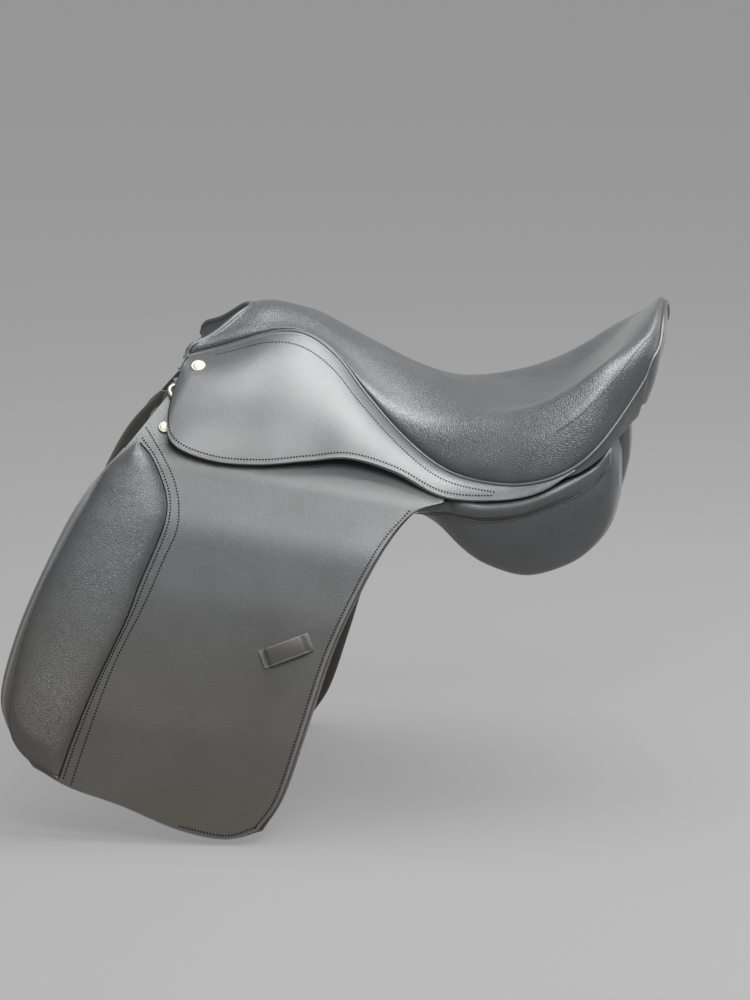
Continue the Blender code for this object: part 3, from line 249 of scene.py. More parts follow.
def heightAt(x, distance):
    run = (x - hingeFront[0]) * math.sin(hingeSlope)
    return hingeFront[1] - (distance + run) / math.cos(hingeSlope)


def flapHalfWidth(distance):
    # the profile's corners are rounded over 20 mm
    places, widths = zip(*flapProfile)
    return float(np.mean(np.interp(distance + np.linspace(-0.010, 0.010, 9), places, widths)))


def flapPoint(x, z, depth, side):
    return np.array((x, side * (flapHalfWidth(hingeDistance(x, z)) - depth), z))


def flapRows(places, depth, side):
    return [[flapPoint(x, z, depth, side) for x, z in row] for row in places]


def flapNormal(x, z, side):
    here = flapPoint(x, z, 0, side)
    normal = unit(np.cross(flapPoint(x + 0.003, z, 0, side) - here, flapPoint(x, z + 0.003, 0, side) - here))
    return towards(normal, side)


def patch(front, rear, upper, lower, across, down):
    # a four-sided patch between its edge curves, in side view
    rows = []
    for v in spread(0, 1, down + 1):
        row = []
        for u in spread(0, 1, across + 1):
            ends = (1 - v) * along(upper, u) + v * along(lower, u)
            corners = (1 - v) * ((1 - u) * along(upper, 0) + u * along(upper, 1))
            corners = corners + v * ((1 - u) * along(lower, 0) + u * along(lower, 1))
            row.append((1 - u) * along(front, v) + u * along(rear, v) + ends - corners)
        rows.append(row)
    return rows


# Materials

def feed(tree, node, inputs):
    # each input takes a value, or a link from a socket
    for key, value in inputs.items():
        if isinstance(value, bpy.types.NodeSocket):
            tree.links.new(value, node.inputs[key])
        else:
            node.inputs[key].default_value = value


def addNode(tree, kind, inputs=None, **settings):
    made = tree.nodes.new("ShaderNode" + kind)
    for key, value in settings.items():
        setattr(made, key, value)
    feed(tree, made, inputs or {})
    return made


def newMaterial(name, inputs):
    material = bpy.data.materials.new(name)
    material.use_nodes = True
    tree = material.node_tree
    shader = tree.nodes["Principled BSDF"]
    feed(tree, shader, inputs)
    return material, tree, shader, addNode(tree, "TexCoord").outputs["Object"]


def mixColours(tree, share, first, second):
    return addNode(tree, "Mix", {0: share, 6: first, 7: second}, data_type="RGBA").outputs[2]


def remap(tree, value, *limits):
    keys = ("Value", "From Min", "From Max", "To Min", "To Max")
    return addNode(tree, "MapRange", dict(zip(keys, (value, *limits)))).outputs["Result"]


def scaledBy(tree, place, scale):
    return addNode(tree, "Mapping", {"Vector": place, "Scale": scale}).outputs["Vector"]


def clouds(tree, place, scale, detail, roughness=0.5):
    inputs = {"Vector": place, "Scale": scale, "Detail": detail, "Roughness": roughness}
    return addNode(tree, "TexNoise", inputs).outputs["Fac"]


def emboss(tree, shader, height, strength, distance):
    # relief from a height, over what the shader already has
    bump = addNode(tree, "Bump", {"Height": height, "Strength": strength, "Distance": distance})
    for link in shader.inputs["Normal"].links:
        tree.links.new(link.from_socket, bump.inputs["Normal"])
    tree.links.new(bump.outputs["Normal"], shader.inputs["Normal"])


def makeLeather(name, look):
    # grain from cells whose creases are pressed in and darkened with painted shade, a painted highlight along the cut
    # edges, and a painted reflection of a brown floor that grows towards the bottom
    material, tree, shader, place = newMaterial(name, {
        "Specular IOR Level": look["specular"], "Coat Weight": look["coat"], "Coat Roughness": 0.28,
        "Sheen Weight": look["sheen"], "Sheen Roughness": 0.4})
    warp = addNode(tree, "TexNoise", {"Vector": place, "Scale": look["grain"] * look["warpScale"], "Detail": 2.0})
    pushed = addNode(tree, "VectorMath", {
        0: warp.outputs["Color"], 1: (look["warp"],) * 3, 2: scaledBy(tree, place, look["stretch"])},
        operation="MULTIPLY_ADD")
    cells = addNode(tree, "TexVoronoi", {"Vector": pushed.outputs[0], "Scale": look["grain"]},
                    feature="DISTANCE_TO_EDGE")
    crease = remap(tree, cells.outputs["Distance"], 0.0, look["crease"], 0.0, 1.0)
    hide = clouds(tree, place, look["hideScale"], 4.0, 0.6)
    edgeHighlight = addNode(tree, "Attribute", attribute_name="edgeHighlight").outputs["Fac"]
    height = addNode(tree, "SeparateXYZ", {"Vector": place}).outputs["Z"]
    colour = look["dark"]
    for value, low, high, least, most, over in (
            (hide, 0.3, 0.7, 0.0, 1.0, look["colour"]),
            # painted reflection of a brown floor: the lower the leather, the browner
            (height, 0.02, -0.20, 0.0, look["floorReflection"], look["floorReflectionColour"]),
            # painted shade: the grain's creases are mixed towards a near-black colour
            (crease, 0.0, 0.6, look["creaseShade"], 0.0, look["creaseShadeColour"]),
            # painted highlight along the cut edges, from the weight that each piece's border points carry
            (edgeHighlight, 0.2, 1.0, 0.0, look["edgeHighlightShare"], look["edgeHighlightColour"])):
        colour = mixColours(tree, remap(tree, value, low, high, least, most), colour, over)
    rough = remap(tree, clouds(tree, place, look["glossScale"], 2.0), 0.35, 0.65, *look["rough"])
    feed(tree, shader, {"Base Color": colour, "Roughness": rough})
    emboss(tree, shader, crease, look["bump"], look["bumpHeight"])
    emboss(tree, shader, hide, look["wave"], look["waveHeight"])
    return material


leatherLook = {
    "colour": (0.046, 0.048, 0.051, 1), "dark": (0.032, 0.033, 0.035, 1), "creaseShadeColour": (0.008, 0.008, 0.009, 1),
    "floorReflectionColour": (0.044, 0.039, 0.027, 1), "edgeHighlightColour": (0.17, 0.17, 0.17, 1), "floorReflection": 0.85, "edgeHighlightShare": 0.55,
    "grain": 700.0, "warp": 0.0006, "warpScale": 0.45, "stretch": (1, 1, 1), "crease": 0.22, "creaseShade": 0.2,
    "hideScale": 26.0, "glossScale": 9.0, "bump": 0.20, "bumpHeight": 0.0004, "wave": 0.10, "waveHeight": 0.0012,
    "rough": (0.36, 0.46), "specular": 0.75, "coat": 0.22, "sheen": 0.12,
}
grainLook = dict(leatherLook, grain=480.0, bump=0.48, creaseShade=0.35, rough=(0.34, 0.44), floorReflection=0.45)
wrinkledLook = dict(leatherLook, grain=560.0, bump=0.42, bumpHeight=0.0005, wave=0.25, creaseShade=0.25,
                    stretch=(0.6, 0.6, 1.5), rough=(0.44, 0.54), coat=0.08)
trimLook = dict(leatherLook, colour=(0.030, 0.030, 0.031, 1), dark=(0.020, 0.020, 0.021, 1), grain=900.0, bump=0.12)
sweatLook = dict(leatherLook, colour=(0.040, 0.038, 0.034, 1), dark=(0.028, 0.027, 0.024, 1), rough=(0.5, 0.6))


def makeThread(name, look):
    material, tree, shader, place = newMaterial(name, {"Roughness": 0.9, "Specular IOR Level": 0.15})
    twist = addNode(tree, "TexWave", {"Vector": place, "Scale": look["twist"], "Distortion": 1.5}).outputs["Fac"]
    feed(tree, shader, {"Base Color": mixColours(tree, twist, look["colour"], look["dark"])})
    emboss(tree, shader, twist, 0.4, 0.0002)
    return material


def makeMetal(name, look):
    material, tree, shader, place = newMaterial(name, {"Metallic": look["metallic"]})
    brushed = clouds(tree, scaledBy(tree, place, look["brush"]), 160.0, 3.0)
    spots = remap(tree, clouds(tree, place, 70.0, 4.0), 0.45, 0.75, 0.0, 0.7)
    feed(tree, shader, {"Base Color": mixColours(tree, spots, look["colour"], look["dull"]),
                        "Roughness": remap(tree, brushed, 0.3, 0.7, *look["rough"])})
    emboss(tree, shader, brushed, 0.08, 0.0002)
    return material


def makeWeave(name, look):
    # linen web: two crossing sets of threads
    material, tree, shader, place = newMaterial(name, {"Roughness": 0.85})
    warp, weft = (addNode(tree, "TexWave", {"Vector": place, "Scale": look["scale"]}, bands_direction=way)
                  for way in "XY")
    both = addNode(tree, "Math", {0: warp.outputs["Fac"], 1: weft.outputs["Fac"]}, operation="MULTIPLY").outputs[0]
    tone = mixColours(tree, both, look["dark"], look["colour"])
    slubs = remap(tree, clouds(tree, place, 120.0, 3.0), 0.4, 0.7, 0.0, 0.3)
    feed(tree, shader, {"Base Color": mixColours(tree, slubs, tone, look["dark"])})
    emboss(tree, shader, both, 0.5, 0.0003)
    return material


def makePlywood(name, look):
    # thin beech layers glued on each other, with long grain
    material, tree, shader, place = newMaterial(name, {"Roughness": 0.5})
    layers = addNode(tree, "TexWave", {"Vector": place, "Scale": look["layers"], "Distortion": 0.6},
                     bands_direction="Z")
    figure = clouds(tree, scaledBy(tree, place, look["stretch"]), 6.0, 6.0)
    tone = mixColours(tree, figure, look["dark"], look["colour"])
    glue = remap(tree, layers.outputs["Fac"], 0.6, 0.9, 0.0, 0.45)
    feed(tree, shader, {"Base Color": mixColours(tree, glue, tone, look["glue"])})
    emboss(tree, shader, figure, 0.2, 0.0005)
    return material


smoothLeather = makeLeather("flapLeather", leatherLook)
grainLeather = makeLeather("seatLeather", grainLook)
rollLeather = makeLeather("kneeRollLeather", wrinkledLook)
trimLeather = makeLeather("trimLeather", trimLook)
sweatLeather = makeLeather("sweatFlapLeather", sweatLook)
thread = makeThread("blackThread", {
    "colour": (0.006, 0.006, 0.007, 1), "dark": (0.003, 0.003, 0.0035, 1), "twist": 900.0})
whiteMetal = makeMetal("nickelSilver", {
    "colour": (0.50, 0.48, 0.40, 1), "dull": (0.38, 0.36, 0.29, 1), "rough": (0.34, 0.50), "metallic": 0.55,
    "brush": (1, 1, 1)})
forgedSteel = makeMetal("forgedSteel", {
    "colour": (0.55, 0.55, 0.56, 1), "dull": (0.34, 0.33, 0.33, 1), "rough": (0.28, 0.46), "metallic": 1.0,
    "brush": (1, 12, 12)})
linenWeb = makeWeave("linenWeb", {
    "colour": (0.55, 0.49, 0.38, 1), "dark": (0.28, 0.24, 0.17, 1), "scale": 420.0})
plywood = makePlywood("beechPlywood", {
    "colour": (0.52, 0.35, 0.19, 1), "dark": (0.34, 0.20, 0.10, 1), "glue": (0.19, 0.11, 0.06, 1),
    "layers": 190.0, "stretch": (8, 60, 60)})
print("materials made")


# Making pieces

pieces = bpy.data.collections.new("dressedSaddle")
bpy.context.scene.collection.children.link(pieces)


def addObject(name, data, home=None):
    obj = bpy.data.objects.new(name, data)
    (bpy.context.scene.collection if home is None else home).objects.link(obj)
    return obj


def meshOf(bm, name):
    mesh = bpy.data.meshes.new(name)
    bm.to_mesh(mesh)
    bm.free()
    return mesh


def evaluated(obj):
    return obj.evaluated_get(bpy.context.evaluated_depsgraph_get())


def keepPiece(bm, name, finish, slot="leather_smooth", sharp=50):
    bmesh.ops.recalc_face_normals(bm, faces=bm.faces)
    mesh = meshOf(bm, name)
    mesh.shade_smooth()
    mesh.set_sharp_from_angle(angle=math.radians(sharp))
    obj = addObject(name, mesh, pieces)
    mesh.materials.append(finish)
    return obj


def layGrid(bm, rows, edgeLit):
    # a grid whose points are moved to the rows; each keeps its place in a layer
    down, across = len(rows) - 1, len(rows[0]) - 1
    place = bm.verts.layers.int.new("place")
    # border points carry the weight of a painted highlight along the cut edges
    edgeHighlight = bm.verts.layers.float.new("edgeHighlight")
    for vert in bmesh.ops.create_grid(bm, x_segments=across, y_segments=down, size=1.0)["verts"]:
        i = round((vert.co.x + 1) / 2 * across)
        j = round((vert.co.y + 1) / 2 * down)
        vert[place] = j * (across + 1) + i
        vert[edgeHighlight] = edgeLit if i in (0, across) or j in (0, down) else 0.0
        vert.co = rows[j][i]
    return bm.verts.layers.int["place"]


def thickBody(outer, inner, edge=0.0, segments=2):
    # two grids of points joined by a wall; its rims are rounded by the edge
    bm = bmesh.new()
    place = layGrid(bm, outer, 1.0 if edge else 0.0)
    across = len(outer[0])
    for vert in bmesh.ops.extrude_face_region(bm, geom=bm.faces[:])["geom"]:
        if isinstance(vert, bmesh.types.BMVert):
            vert.co = inner[vert[place] // across][vert[place] % across]
    bmesh.ops.recalc_face_normals(bm, faces=bm.faces)
    if edge:
        rims = [e for e in bm.edges if e.is_manifold and e.calc_face_angle() > 0.8]
        bmesh.ops.bevel(bm, geom=rims, offset=edge, offset_type="OFFSET", segments=segments, profile=0.5,
                        affect="EDGES", material=-1, clamp_overlap=True)
    return bm


def shell(name, outer, inner, finish, edge=0.0006, segments=2, slot="leather_smooth"):
    return keepPiece(thickBody(outer, inner, edge, segments), name, finish, slot)


def tube(name, points, radius, finish, slot="leather_smooth", closed=False, roundness=2):
    curve = bpy.data.curves.new("tube", "CURVE")
    curve.dimensions = "3D"
    curve.bevel_depth = radius
    curve.bevel_resolution = roundness
    curve.use_fill_caps = not closed
    line = curve.splines.new("POLY")
    line.points.add(len(points) - 1)
    for spot, point in zip(line.points, points):
        spot.co = (*point, 1)
    line.use_cyclic_u = closed
    guide = addObject("tube", curve)
    mesh = bpy.data.meshes.new_from_object(evaluated(guide))
    bpy.data.objects.remove(guide, do_unlink=True)
    bm = bmesh.new()
    bm.from_mesh(mesh)
    bpy.data.meshes.remove(mesh)
    bmesh.ops.remove_doubles(bm, verts=bm.verts, dist=1e-6)
    return keepPiece(bm, name, finish, slot)


def frameMatrix(origin, xAxis, yAxis, zAxis):
    matrix = Matrix.Identity(4)
    for column, axis in enumerate((xAxis, yAxis, zAxis, origin)):
        for i in range(3):
            matrix[i][column] = axis[i]
    return matrix


def facingMatrix(place, normal):
    return Matrix.Translation(Vector(place)) @ Vector(normal).to_track_quat("Z", "Y").to_matrix().to_4x4()


stitchLook = {"pitch": 0.0029, "length": 0.0021, "width": 0.0019, "height": 0.0004}


def sewRow(bm, path, count):
    # small threads laid end to end along a path, which gives a point and its normal at a share
    samples = [path(share) for share in spread(0, 1, count)]
    points = np.array([sample[0] for sample in samples])
    length = np.concatenate([[0], np.cumsum(norm(np.diff(points, axis=0), axis=1))])
    size = (stitchLook["length"] / 2, stitchLook["width"] / 2, stitchLook["height"])
    for place in np.arange(stitchLook["pitch"] / 2, length[-1], stitchLook["pitch"]):
        i = min(int(np.searchsorted(length, place)), count - 1)
        share = (place - length[i - 1]) / max(length[i] - length[i - 1], 1e-9)
        point = points[i - 1] + (points[i] - points[i - 1]) * share
        forward = Vector(points[i] - points[i - 1]).normalized()
        normal = Vector(samples[i][1])
        normal = (normal - forward * normal.dot(forward)).normalized()
        matrix = frameMatrix(point, forward, normal.cross(forward), normal)
        bmesh.ops.create_icosphere(bm, subdivisions=1, radius=1.0, matrix=matrix @ Matrix.Diagonal((*size, 1)))


def sewPiece(name, *rows):
    # each row is a path and the number of places where it is sampled
    bm = bmesh.new()
    for path, count in rows:
        sewRow(bm, path, count)
    return keepPiece(bm, name, thread)


clothSteps = 20


def swell(obj, look, pinned):
    # fills a pad: cloth under pressure, held at its seams, with its movement capped and evened out
    rest = np.array([vert.co for vert in obj.data.vertices])
    group = obj.vertex_groups.new(name="seams")
    group.add(pinned, 1.0, "REPLACE")
    cloth = obj.modifiers.new("Cloth", "CLOTH")
    cloth.settings.quality = 4
    cloth.settings.use_pressure = True
    cloth.settings.uniform_pressure_force = look["pressure"]
    cloth.settings.tension_stiffness = look["stiffness"]
    cloth.settings.compression_stiffness = look["stiffness"]
    cloth.settings.bending_stiffness = look["bending"]
    cloth.settings.effector_weights.gravity = 0
    cloth.settings.vertex_group_mass = "seams"
    cloth.collision_settings.use_collision = False
    for step in range(1, clothSteps + 1):
        bpy.context.scene.frame_set(step)
    moved = np.array([vert.co for vert in evaluated(obj).data.vertices]) - rest
    obj.modifiers.remove(cloth)
    obj.vertex_groups.clear()
    bpy.context.scene.frame_set(1)
    reach = norm(moved, axis=1, keepdims=True)
    moved *= np.minimum(1.0, look["cap"] / np.maximum(reach, 1e-9))
    edges = np.array([edge.vertices for edge in obj.data.edges])
    free = np.ones((len(moved), 1))
    free[pinned] = 0.0
    for _ in range(look["evening"]):
        total, count = np.zeros_like(moved), np.zeros((len(moved), 1))
        for a, b in ((0, 1), (1, 0)):
            np.add.at(total, edges[:, a], moved[edges[:, b]])
            np.add.at(count, edges[:, a], 1.0)
        moved = (moved + total / count) / 2 * free
    for vert, place in zip(obj.data.vertices, rest + moved):
        vert.co = place
    print(obj.name, "swelled by up to", round(float(reach.max()) * 1000, 1), "mm")
    finer = obj.modifiers.new("Finer", "SUBSURF")
    finer.levels = finer.render_levels = look["levels"]


def makePad(name, outer, inner, finish, look, held):
    # a stuffed pad; held says of a point's row, column, place and sheet whether a seam keeps it
    pad = keepPiece(thickBody(outer, inner), name, finish, "leather_grain", 80)
    across = len(outer[0])
    count = across * len(outer)
    places = pad.data.attributes["place"].data
    pinned = []
    for index, vert in enumerate(pad.data.vertices):
        if held(*divmod(places[index].value, across), vert.co, index >= count):
            pinned.append(index)
    swell(pad, look, pinned)
    return pad


# Seat pad

seatLook = {"pressure": 2.0, "stiffness": 18.0, "bending": 2.0, "cap": 0.003, "evening": 60, "levels": 2,
            "rows": 62, "columns": 40, "inset": 0.0012, "ridgeHeight": 0.0016, "ridgeWidth": 0.006,
            "rounding": 0.0011, "roundedOver": 0.004, "thinnest": 0.006, "pommelThick": 0.004,
            "cantleThick": 0.0035, "seamHold": 0.003}
frontRowLength, rearRowLength = 0.018, 0.014      # metres for one row at the pommel and at the cantle
thinBefore, thinBehind = 0.7, 13.1      # rows
# The welt where the border meets the seat, as row and place across, near side from the front
ridgeLine = [(8.0, 0.985), (8.8, 0.95), (9.6, 0.915), (10.5, 0.89), (11.5, 0.875), (12.4, 0.86), (13.2, 0.825),
             (13.8, 0.735), (14.25, 0.56), (14.45, 0.3), (14.5, 0.0)]


def seatThick(row, across):
    # cover and foam, with thin ends that leave room for the facings
    if row < thinBefore:
        return seatLook["pommelThick"]
    if row > thinBehind:
        return seatLook["cantleThick"]
    share = min(abs(across), 1.0)
    behind = min(max(row - 11.8, 0.0) * 0.4, 0.6)
    thick = coverThick + gap + foamThick * (1 - 0.72 * share**2) * (1 - behind)
    return max(thick, seatLook["thinnest"])


def ridgeAt(share):
    # a point of the border's welt, from the near side round the cantle to the far side
    row, across = along(ridgeLine, 1 - abs(2 * share - 1))
    return row, (-across if share < 0.5 else across)


def sewBorder(seat):
    # the border's seam, laid on the swollen pad just outside its ridge
    surface = BVHTree.FromObject(seat, bpy.context.evaluated_depsgraph_get())
    seam = []
    for share in spread(0.15, 0.85, 260):
        row, across = ridgeAt(share)
        outside = across + math.copysign(0.022 * smooth(14.4, 13.2, row), across)
        spot = below(min(row + 0.10 * smooth(13.0, 14.3, row), lastRow - 0.2), outside, 0.0)
        place, normal = surface.find_nearest(Vector(spot))[:2]
        seam.append(place + normal * 0.0002)
    welt = tube("seatBorderSeam", seam, seamRadius, trimLeather)
    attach(welt, "saddle")


def makeSeat():
    rows = [0.0, 0.05] + spread(0.15, lastRow - 0.12, seatLook["rows"]) + [lastRow - 0.04, lastRow]
    shares = [-1, -0.988] + spread(-0.965, 0.965, seatLook["columns"]) + [0.988, 1]
    ridge = np.array([outerPoint(*ridgeAt(share)) for share in spread(0, 1, 240)])
    seam = pipingRadius + seamGap
    top, under = [], []
    for row in rows:
        # metres for one unit across, and below for one row at the cantle
        length = norm(outerPoint(row, 1) - outerPoint(row, 0.96)) / 0.04
        reach = 1 - seam / length
        topRow, underRow = [], []
        for share in shares:
            across = share * reach
            rowLength = norm(outerPoint(lastRow, across) - outerPoint(lastRow - 0.2, across)) / 0.2
            place = row - seam / rowLength * smooth(lastRow - 1, lastRow, row)
            toRidge = norm(ridge - outerPoint(place, across), axis=1).min()
            depth = seatLook["inset"] if 0.2 < row < lastRow - 0.2 and abs(share) < 0.95 else 0.0
            depth -= seatLook["ridgeHeight"] * math.exp(-((toRidge / seatLook["ridgeWidth"]) ** 2)) * min(1.0, row / 8)
            edge = min((1 - abs(share)) * length, (lastRow - row) * rearRowLength, row * frontRowLength)
            depth += seatLook["rounding"] * (1 - min(edge / seatLook["roundedOver"], 1.0)) ** 2
            topRow.append(below(place, across, depth))
            underRow.append(below(place, across, seatThick(row, across)))
        top.append(topRow)
        under.append(underRow)

    def held(j, i, place, inside):
        rim = i < 2 or i > len(shares) - 3 or j < 2 or j > len(rows) - 3
        return inside or rim or norm(ridge - np.array(place), axis=1).min() < seatLook["seamHold"]

    seat = makePad("seatPad", top, under, grainLeather, seatLook, held)
    sewBorder(seat)
    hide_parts("seat_cover", "seat_foam")
    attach(seat, "saddle")


pipingLook = {"samples": 150, "sunk": 0.3, "smoothing": 5}


def makePiping():
    spots = [(row, -1.0) for row in spread(0.0, lastRow, pipingLook["samples"])]
    spots += [(lastRow, across) for across in spread(-0.97, 0.0, 30)]
    line = [outerPoint(*spot) + inward(*spot) * pipingRadius * pipingLook["sunk"] for spot in spots]
    line += [point * mirror for point in line[-2::-1]]
    for _ in range(pipingLook["smoothing"]):
        line = line[:1] + [(a + 2 * b + c) / 4 for a, b, c in zip(line, line[1:], line[2:])] + line[-1:]
    piping = tube("seatPiping", line, pipingRadius, trimLeather, roundness=4)
    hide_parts("seat_piping")
    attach(piping, "saddle")


# Skirts: one sheet each side, whose lobe bulges over the stirrup bar

skirtLook = {"rows": 96, "columns": 34, "edge": 0.0009, "bendAbove": 0.006, "bendBelow": 0.010,
             "seamInset": 0.0185, "seamInsetRear": 0.0105, "edgeInset": 0.0042, "axisOut": 0.0115}
lobeFront, lobeRear = (0.35, 1.72), (6.6, 1.93)


def bendPlaces(start, end, inside, look):
    # two places off the middle of a line: one away from the inside point, the other towards it
    middle = (start + end) / 2
    line = unit(end - start)
    down = inside - middle
    down = unit(down - line * np.dot(down, line))
    return tuple(middle - down * look["bendAbove"]), tuple(middle + down * look["bendBelow"])


def skirtBend(side):
    out = np.array((0.0, side * skirtLook["axisOut"], 0.0))
    start, end = (outerPoint(row, side * across) + out for row, across in (lobeFront, lobeRear))
    return bendPlaces(start, end, outerPoint(3.0, side * 2.0), skirtLook)


def skirtLength(row):
    return norm(outerPoint(row, 2) - outerPoint(row, 1))


def skirtPaths(side):
    # the skirt's rows of stitches: below the piping, along the lower edge and down the front
    def place(row, across):
        normal = towards(outerNormal(row, side * across), side)
        return outerPoint(row, side * across) + normal * threadLift, normal

    def seamRow(share):
        row = 1.45 + 7.45 * share
        ease = smooth(7.0, 8.9, row)
        inset = skirtLook["seamInset"] * (1 - ease) + skirtLook["seamInsetRear"] * ease
        return place(row, 1 + inset / skirtLength(row))

    def edgeRow(share):
        row = 0.1 + 8.8 * share
        return place(row, 2 - skirtLook["edgeInset"] / skirtLength(row))

    def frontRow(share):
        return place(0.12, 1.2 + 0.6 * share)

    return seamRow, edgeRow, frontRow


def makeSkirts():
    for name, side in sides:
        outer, inner = [], []
        for row in spread(0.0, skirtLast, skirtLook["rows"]):
            start = min(1 + (pipingRadius + seamGap) / skirtLength(row), 1.8)
            outerRow, innerRow = [], []
            for across in spread(start, 2.0, skirtLook["columns"]):
                point = outerPoint(row, side * across)
                normal = towards(outerNormal(row, side * min(across, 1.97)), side)
                outerRow.append(point)
                innerRow.append(point - normal * skirtThick * (0.75 + 0.25 * smooth(1.0, 1.3, across)))
            outer.append(outerRow)
            inner.append(innerRow)
        skirt = shell("skirtLeather_" + name, outer, inner, smoothLeather, skirtLook["edge"], 3)
        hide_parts("skirt_" + name, "skirt_top_" + name)
        places = skirtBend(side)
        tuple(places[0])
        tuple(places[1])
        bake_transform(skirt)
        stitches = sewPiece("skirtStitching_" + name, *[(path, 240) for path in skirtPaths(side)])
        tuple(places[0])
        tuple(places[1])
        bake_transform(stitches)


# Flaps

flapLook = {"columns": 66, "headRows": 8, "rows": 84, "edge": 0.0009, "bendAbove": 0.004, "bendBelow": 0.010,
            "stitchInset": 0.0038}
headRise = (0.066, 0.038, 0.012)      # at the front, the middle and the rear
flapInside, flapMiddle = (-0.2, -0.05), (-0.25, -0.05)


def headTop(share):
    if share < 0.12:
        return -headRise[0]
    return -float(np.interp(share, (0.60, 1), headRise[1:]))


def flapPlaces():
    # rows of the flap in side view, from the top of its head to the lower edge
    columns = flapLook["columns"]
    rows = []
    for k in range(flapLook["headRows"]):
        row = []
        for share in spread(0, 1, columns + 1):
            distance = headTop(share) * (1 - k / flapLook["headRows"])
            spot = hingeFront[0] + (flapRearEdge[0][0] - hingeFront[0]) * share
            spot += 0.75 * (-distance) * max(0, 1 - share * 5)
            row.append((spot, heightAt(spot, distance)))
        rows.append(row)
    upper = [hingeFront, flapRearEdge[0]]
    return rows + patch(flapFrontEdge, flapRearEdge, upper, flapLowerEdge, columns, flapLook["rows"])


def flapBend(side):
    start, end, inside = (flapPoint(x, z, 0, side) for x, z in (hingeFront, hingeRear, flapInside))
    return bendPlaces(start, end, inside, flapLook)


def sideSheet(name, places, depth, thickness, side, finish, edge):
    return shell(name, flapRows(places, depth, side), flapRows(places, depth + thickness, side), finish, edge)


def onFlap(edge, side):
    # a path on the flap, just inside one of its edges
    last = 40
    points = [np.array(along(edge, share)) for share in spread(0, 1, last + 1)]
    middle = np.array(flapMiddle)

    def path(share):
        place = share * last
        i = min(int(place), last - 1)
        here = points[i] + (points[i + 1] - points[i]) * (place - i)
        forward = unit(points[min(i + 2, last)] - points[max(i - 1, 0)])
        square = np.array((-forward[1], forward[0]))
        if np.dot(square, middle - here) < 0:
            square = -square
        x, z = here + square * flapLook["stitchInset"]
        return flapPoint(x, z, -threadLift, side), flapNormal(x, z, side)

    return path


def makeFlaps():
    places = flapPlaces()
    for name, side in sides:
        flap = sideSheet("flapLeather_" + name, places, 0, flapThick, side, smoothLeather, flapLook["edge"])
        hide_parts("flap_" + name, "flap_head_" + name)
        bend = flapBend(side)
        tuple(bend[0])
        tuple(bend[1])
        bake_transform(flap)
        stitches = sewPiece("flapStitching_" + name, (onFlap(flapRearEdge[1:], side), 300),
                            (onFlap(flapLowerEdge[3:], side), 120))
        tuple(bend[0])
        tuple(bend[1])
        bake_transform(stitches)


# Knee rolls, and the rows of stitches behind them

# the seam radius and the shift out after it size and place the black tube that paints shade in the crease at the
# roll's rear edge
rollLook = {"pressure": 3.0, "stiffness": 14.0, "bending": 1.0, "cap": 0.004, "evening": 4, "levels": 2,
            "rows": 74, "columns": 17, "crown": 0.0105, "edge": 0.0016, "welt": 0.0011, "seam": 0.0006,
            "wrinkle": 0.0005, "ripple": 0.0003, "weltOut": 0.0006, "creaseShadeOut": 0.0008, "sunk": 0.7,
            "stitchRows": (0.36, 1.0)}


def rollCrown(u, v, x, z, side):
    # the pad's height before it swells: full in the middle, rounded ends, small wrinkles at the top
    lengthwise = 1 - (1 - min(v / 0.16, 1.0)) ** 2.2 - max(v - 0.93, 0.0) / 0.07 * 0.8
    full = max((1 - abs(2 * u - 1) ** 2.6) * lengthwise, 0) ** 0.7
    pucker = rollLook["wrinkle"] * noise.noise(Vector((x * 40, side, z * 170))) * smooth(0.6, 0.0, v) * full
    pucker += rollLook["ripple"] * noise.noise(Vector((x * 90, side, z * 60))) * full
    return rollLook["edge"] + rollLook["crown"] * full + pucker


def makeKneeRolls():
    across, down = rollLook["columns"], rollLook["rows"]
    tip = [rollFrontEdge[0], rollRearEdge[0]]
    flat = patch(rollFrontEdge, rollRearEdge, tip, rollFoot, across, down)
    front = [along(rollFrontEdge, s) for s in spread(0.02, 1, 90)] + [along(rollFoot, s) for s in spread(0.03, 1, 30)]
    rear = [along(rollRearEdge, s) for s in spread(0, 1, 120)]
    for name, side in sides:
        crown = [[flapPoint(x, z, -rollCrown(i / across, j / down, x, z, side), side)
                  for i, (x, z) in enumerate(row)] for j, row in enumerate(flat)]
        base = flapRows(flat, -gap * 0.6, side)
        roll = makePad("kneeRollPad_" + name, crown, base, rollLeather, rollLook,
                       lambda j, i, place, inside: inside or i in (0, across) or j in (0, down))
        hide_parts("knee_roll_" + name)
        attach(roll, "flap_" + name)

        # a welt down the front edge and foot, and along the rear edge a thin black thread tube that paints the shade
        # in the crease beside the roll
        for label, line, finish, radius, shift in (
                ("Welt", front, smoothLeather, rollLook["welt"], -rollLook["weltOut"]),
                ("Seam", rear, thread, rollLook["seam"], rollLook["creaseShadeOut"])):
            points = [flapPoint(x + shift, z, -radius * rollLook["sunk"], side) for x, z in line]
            trim = tube(f"kneeRoll{label}_{name}", points, radius, finish)
            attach(trim, "flap_" + name)

        def rowPath(out, share):
            x, z = along(rollRearEdge, share) + (along(rollStitches, share) - along(rollRearEdge, share)) * out
            return flapPoint(x, z, -threadLift, side), flapNormal(x, z, side)

        stitches = sewPiece("kneeRollStitching_" + name,
                            *[(partial(rowPath, out), 300) for out in rollLook["stitchRows"]])
        bend = flapBend(side)
        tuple(bend[0])
        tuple(bend[1])
        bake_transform(stitches)


# Keeper on each flap: a strap that stands off for the stirrup leather

keeperLook = {"length": 0.0485, "height": 0.0172, "strap": 0.0020, "slot": 0.0036, "foot": 0.006,
              "crown": 0.0005, "edge": 0.0006, "centre": (-0.1514, -0.0533), "tilt": math.radians(21)}


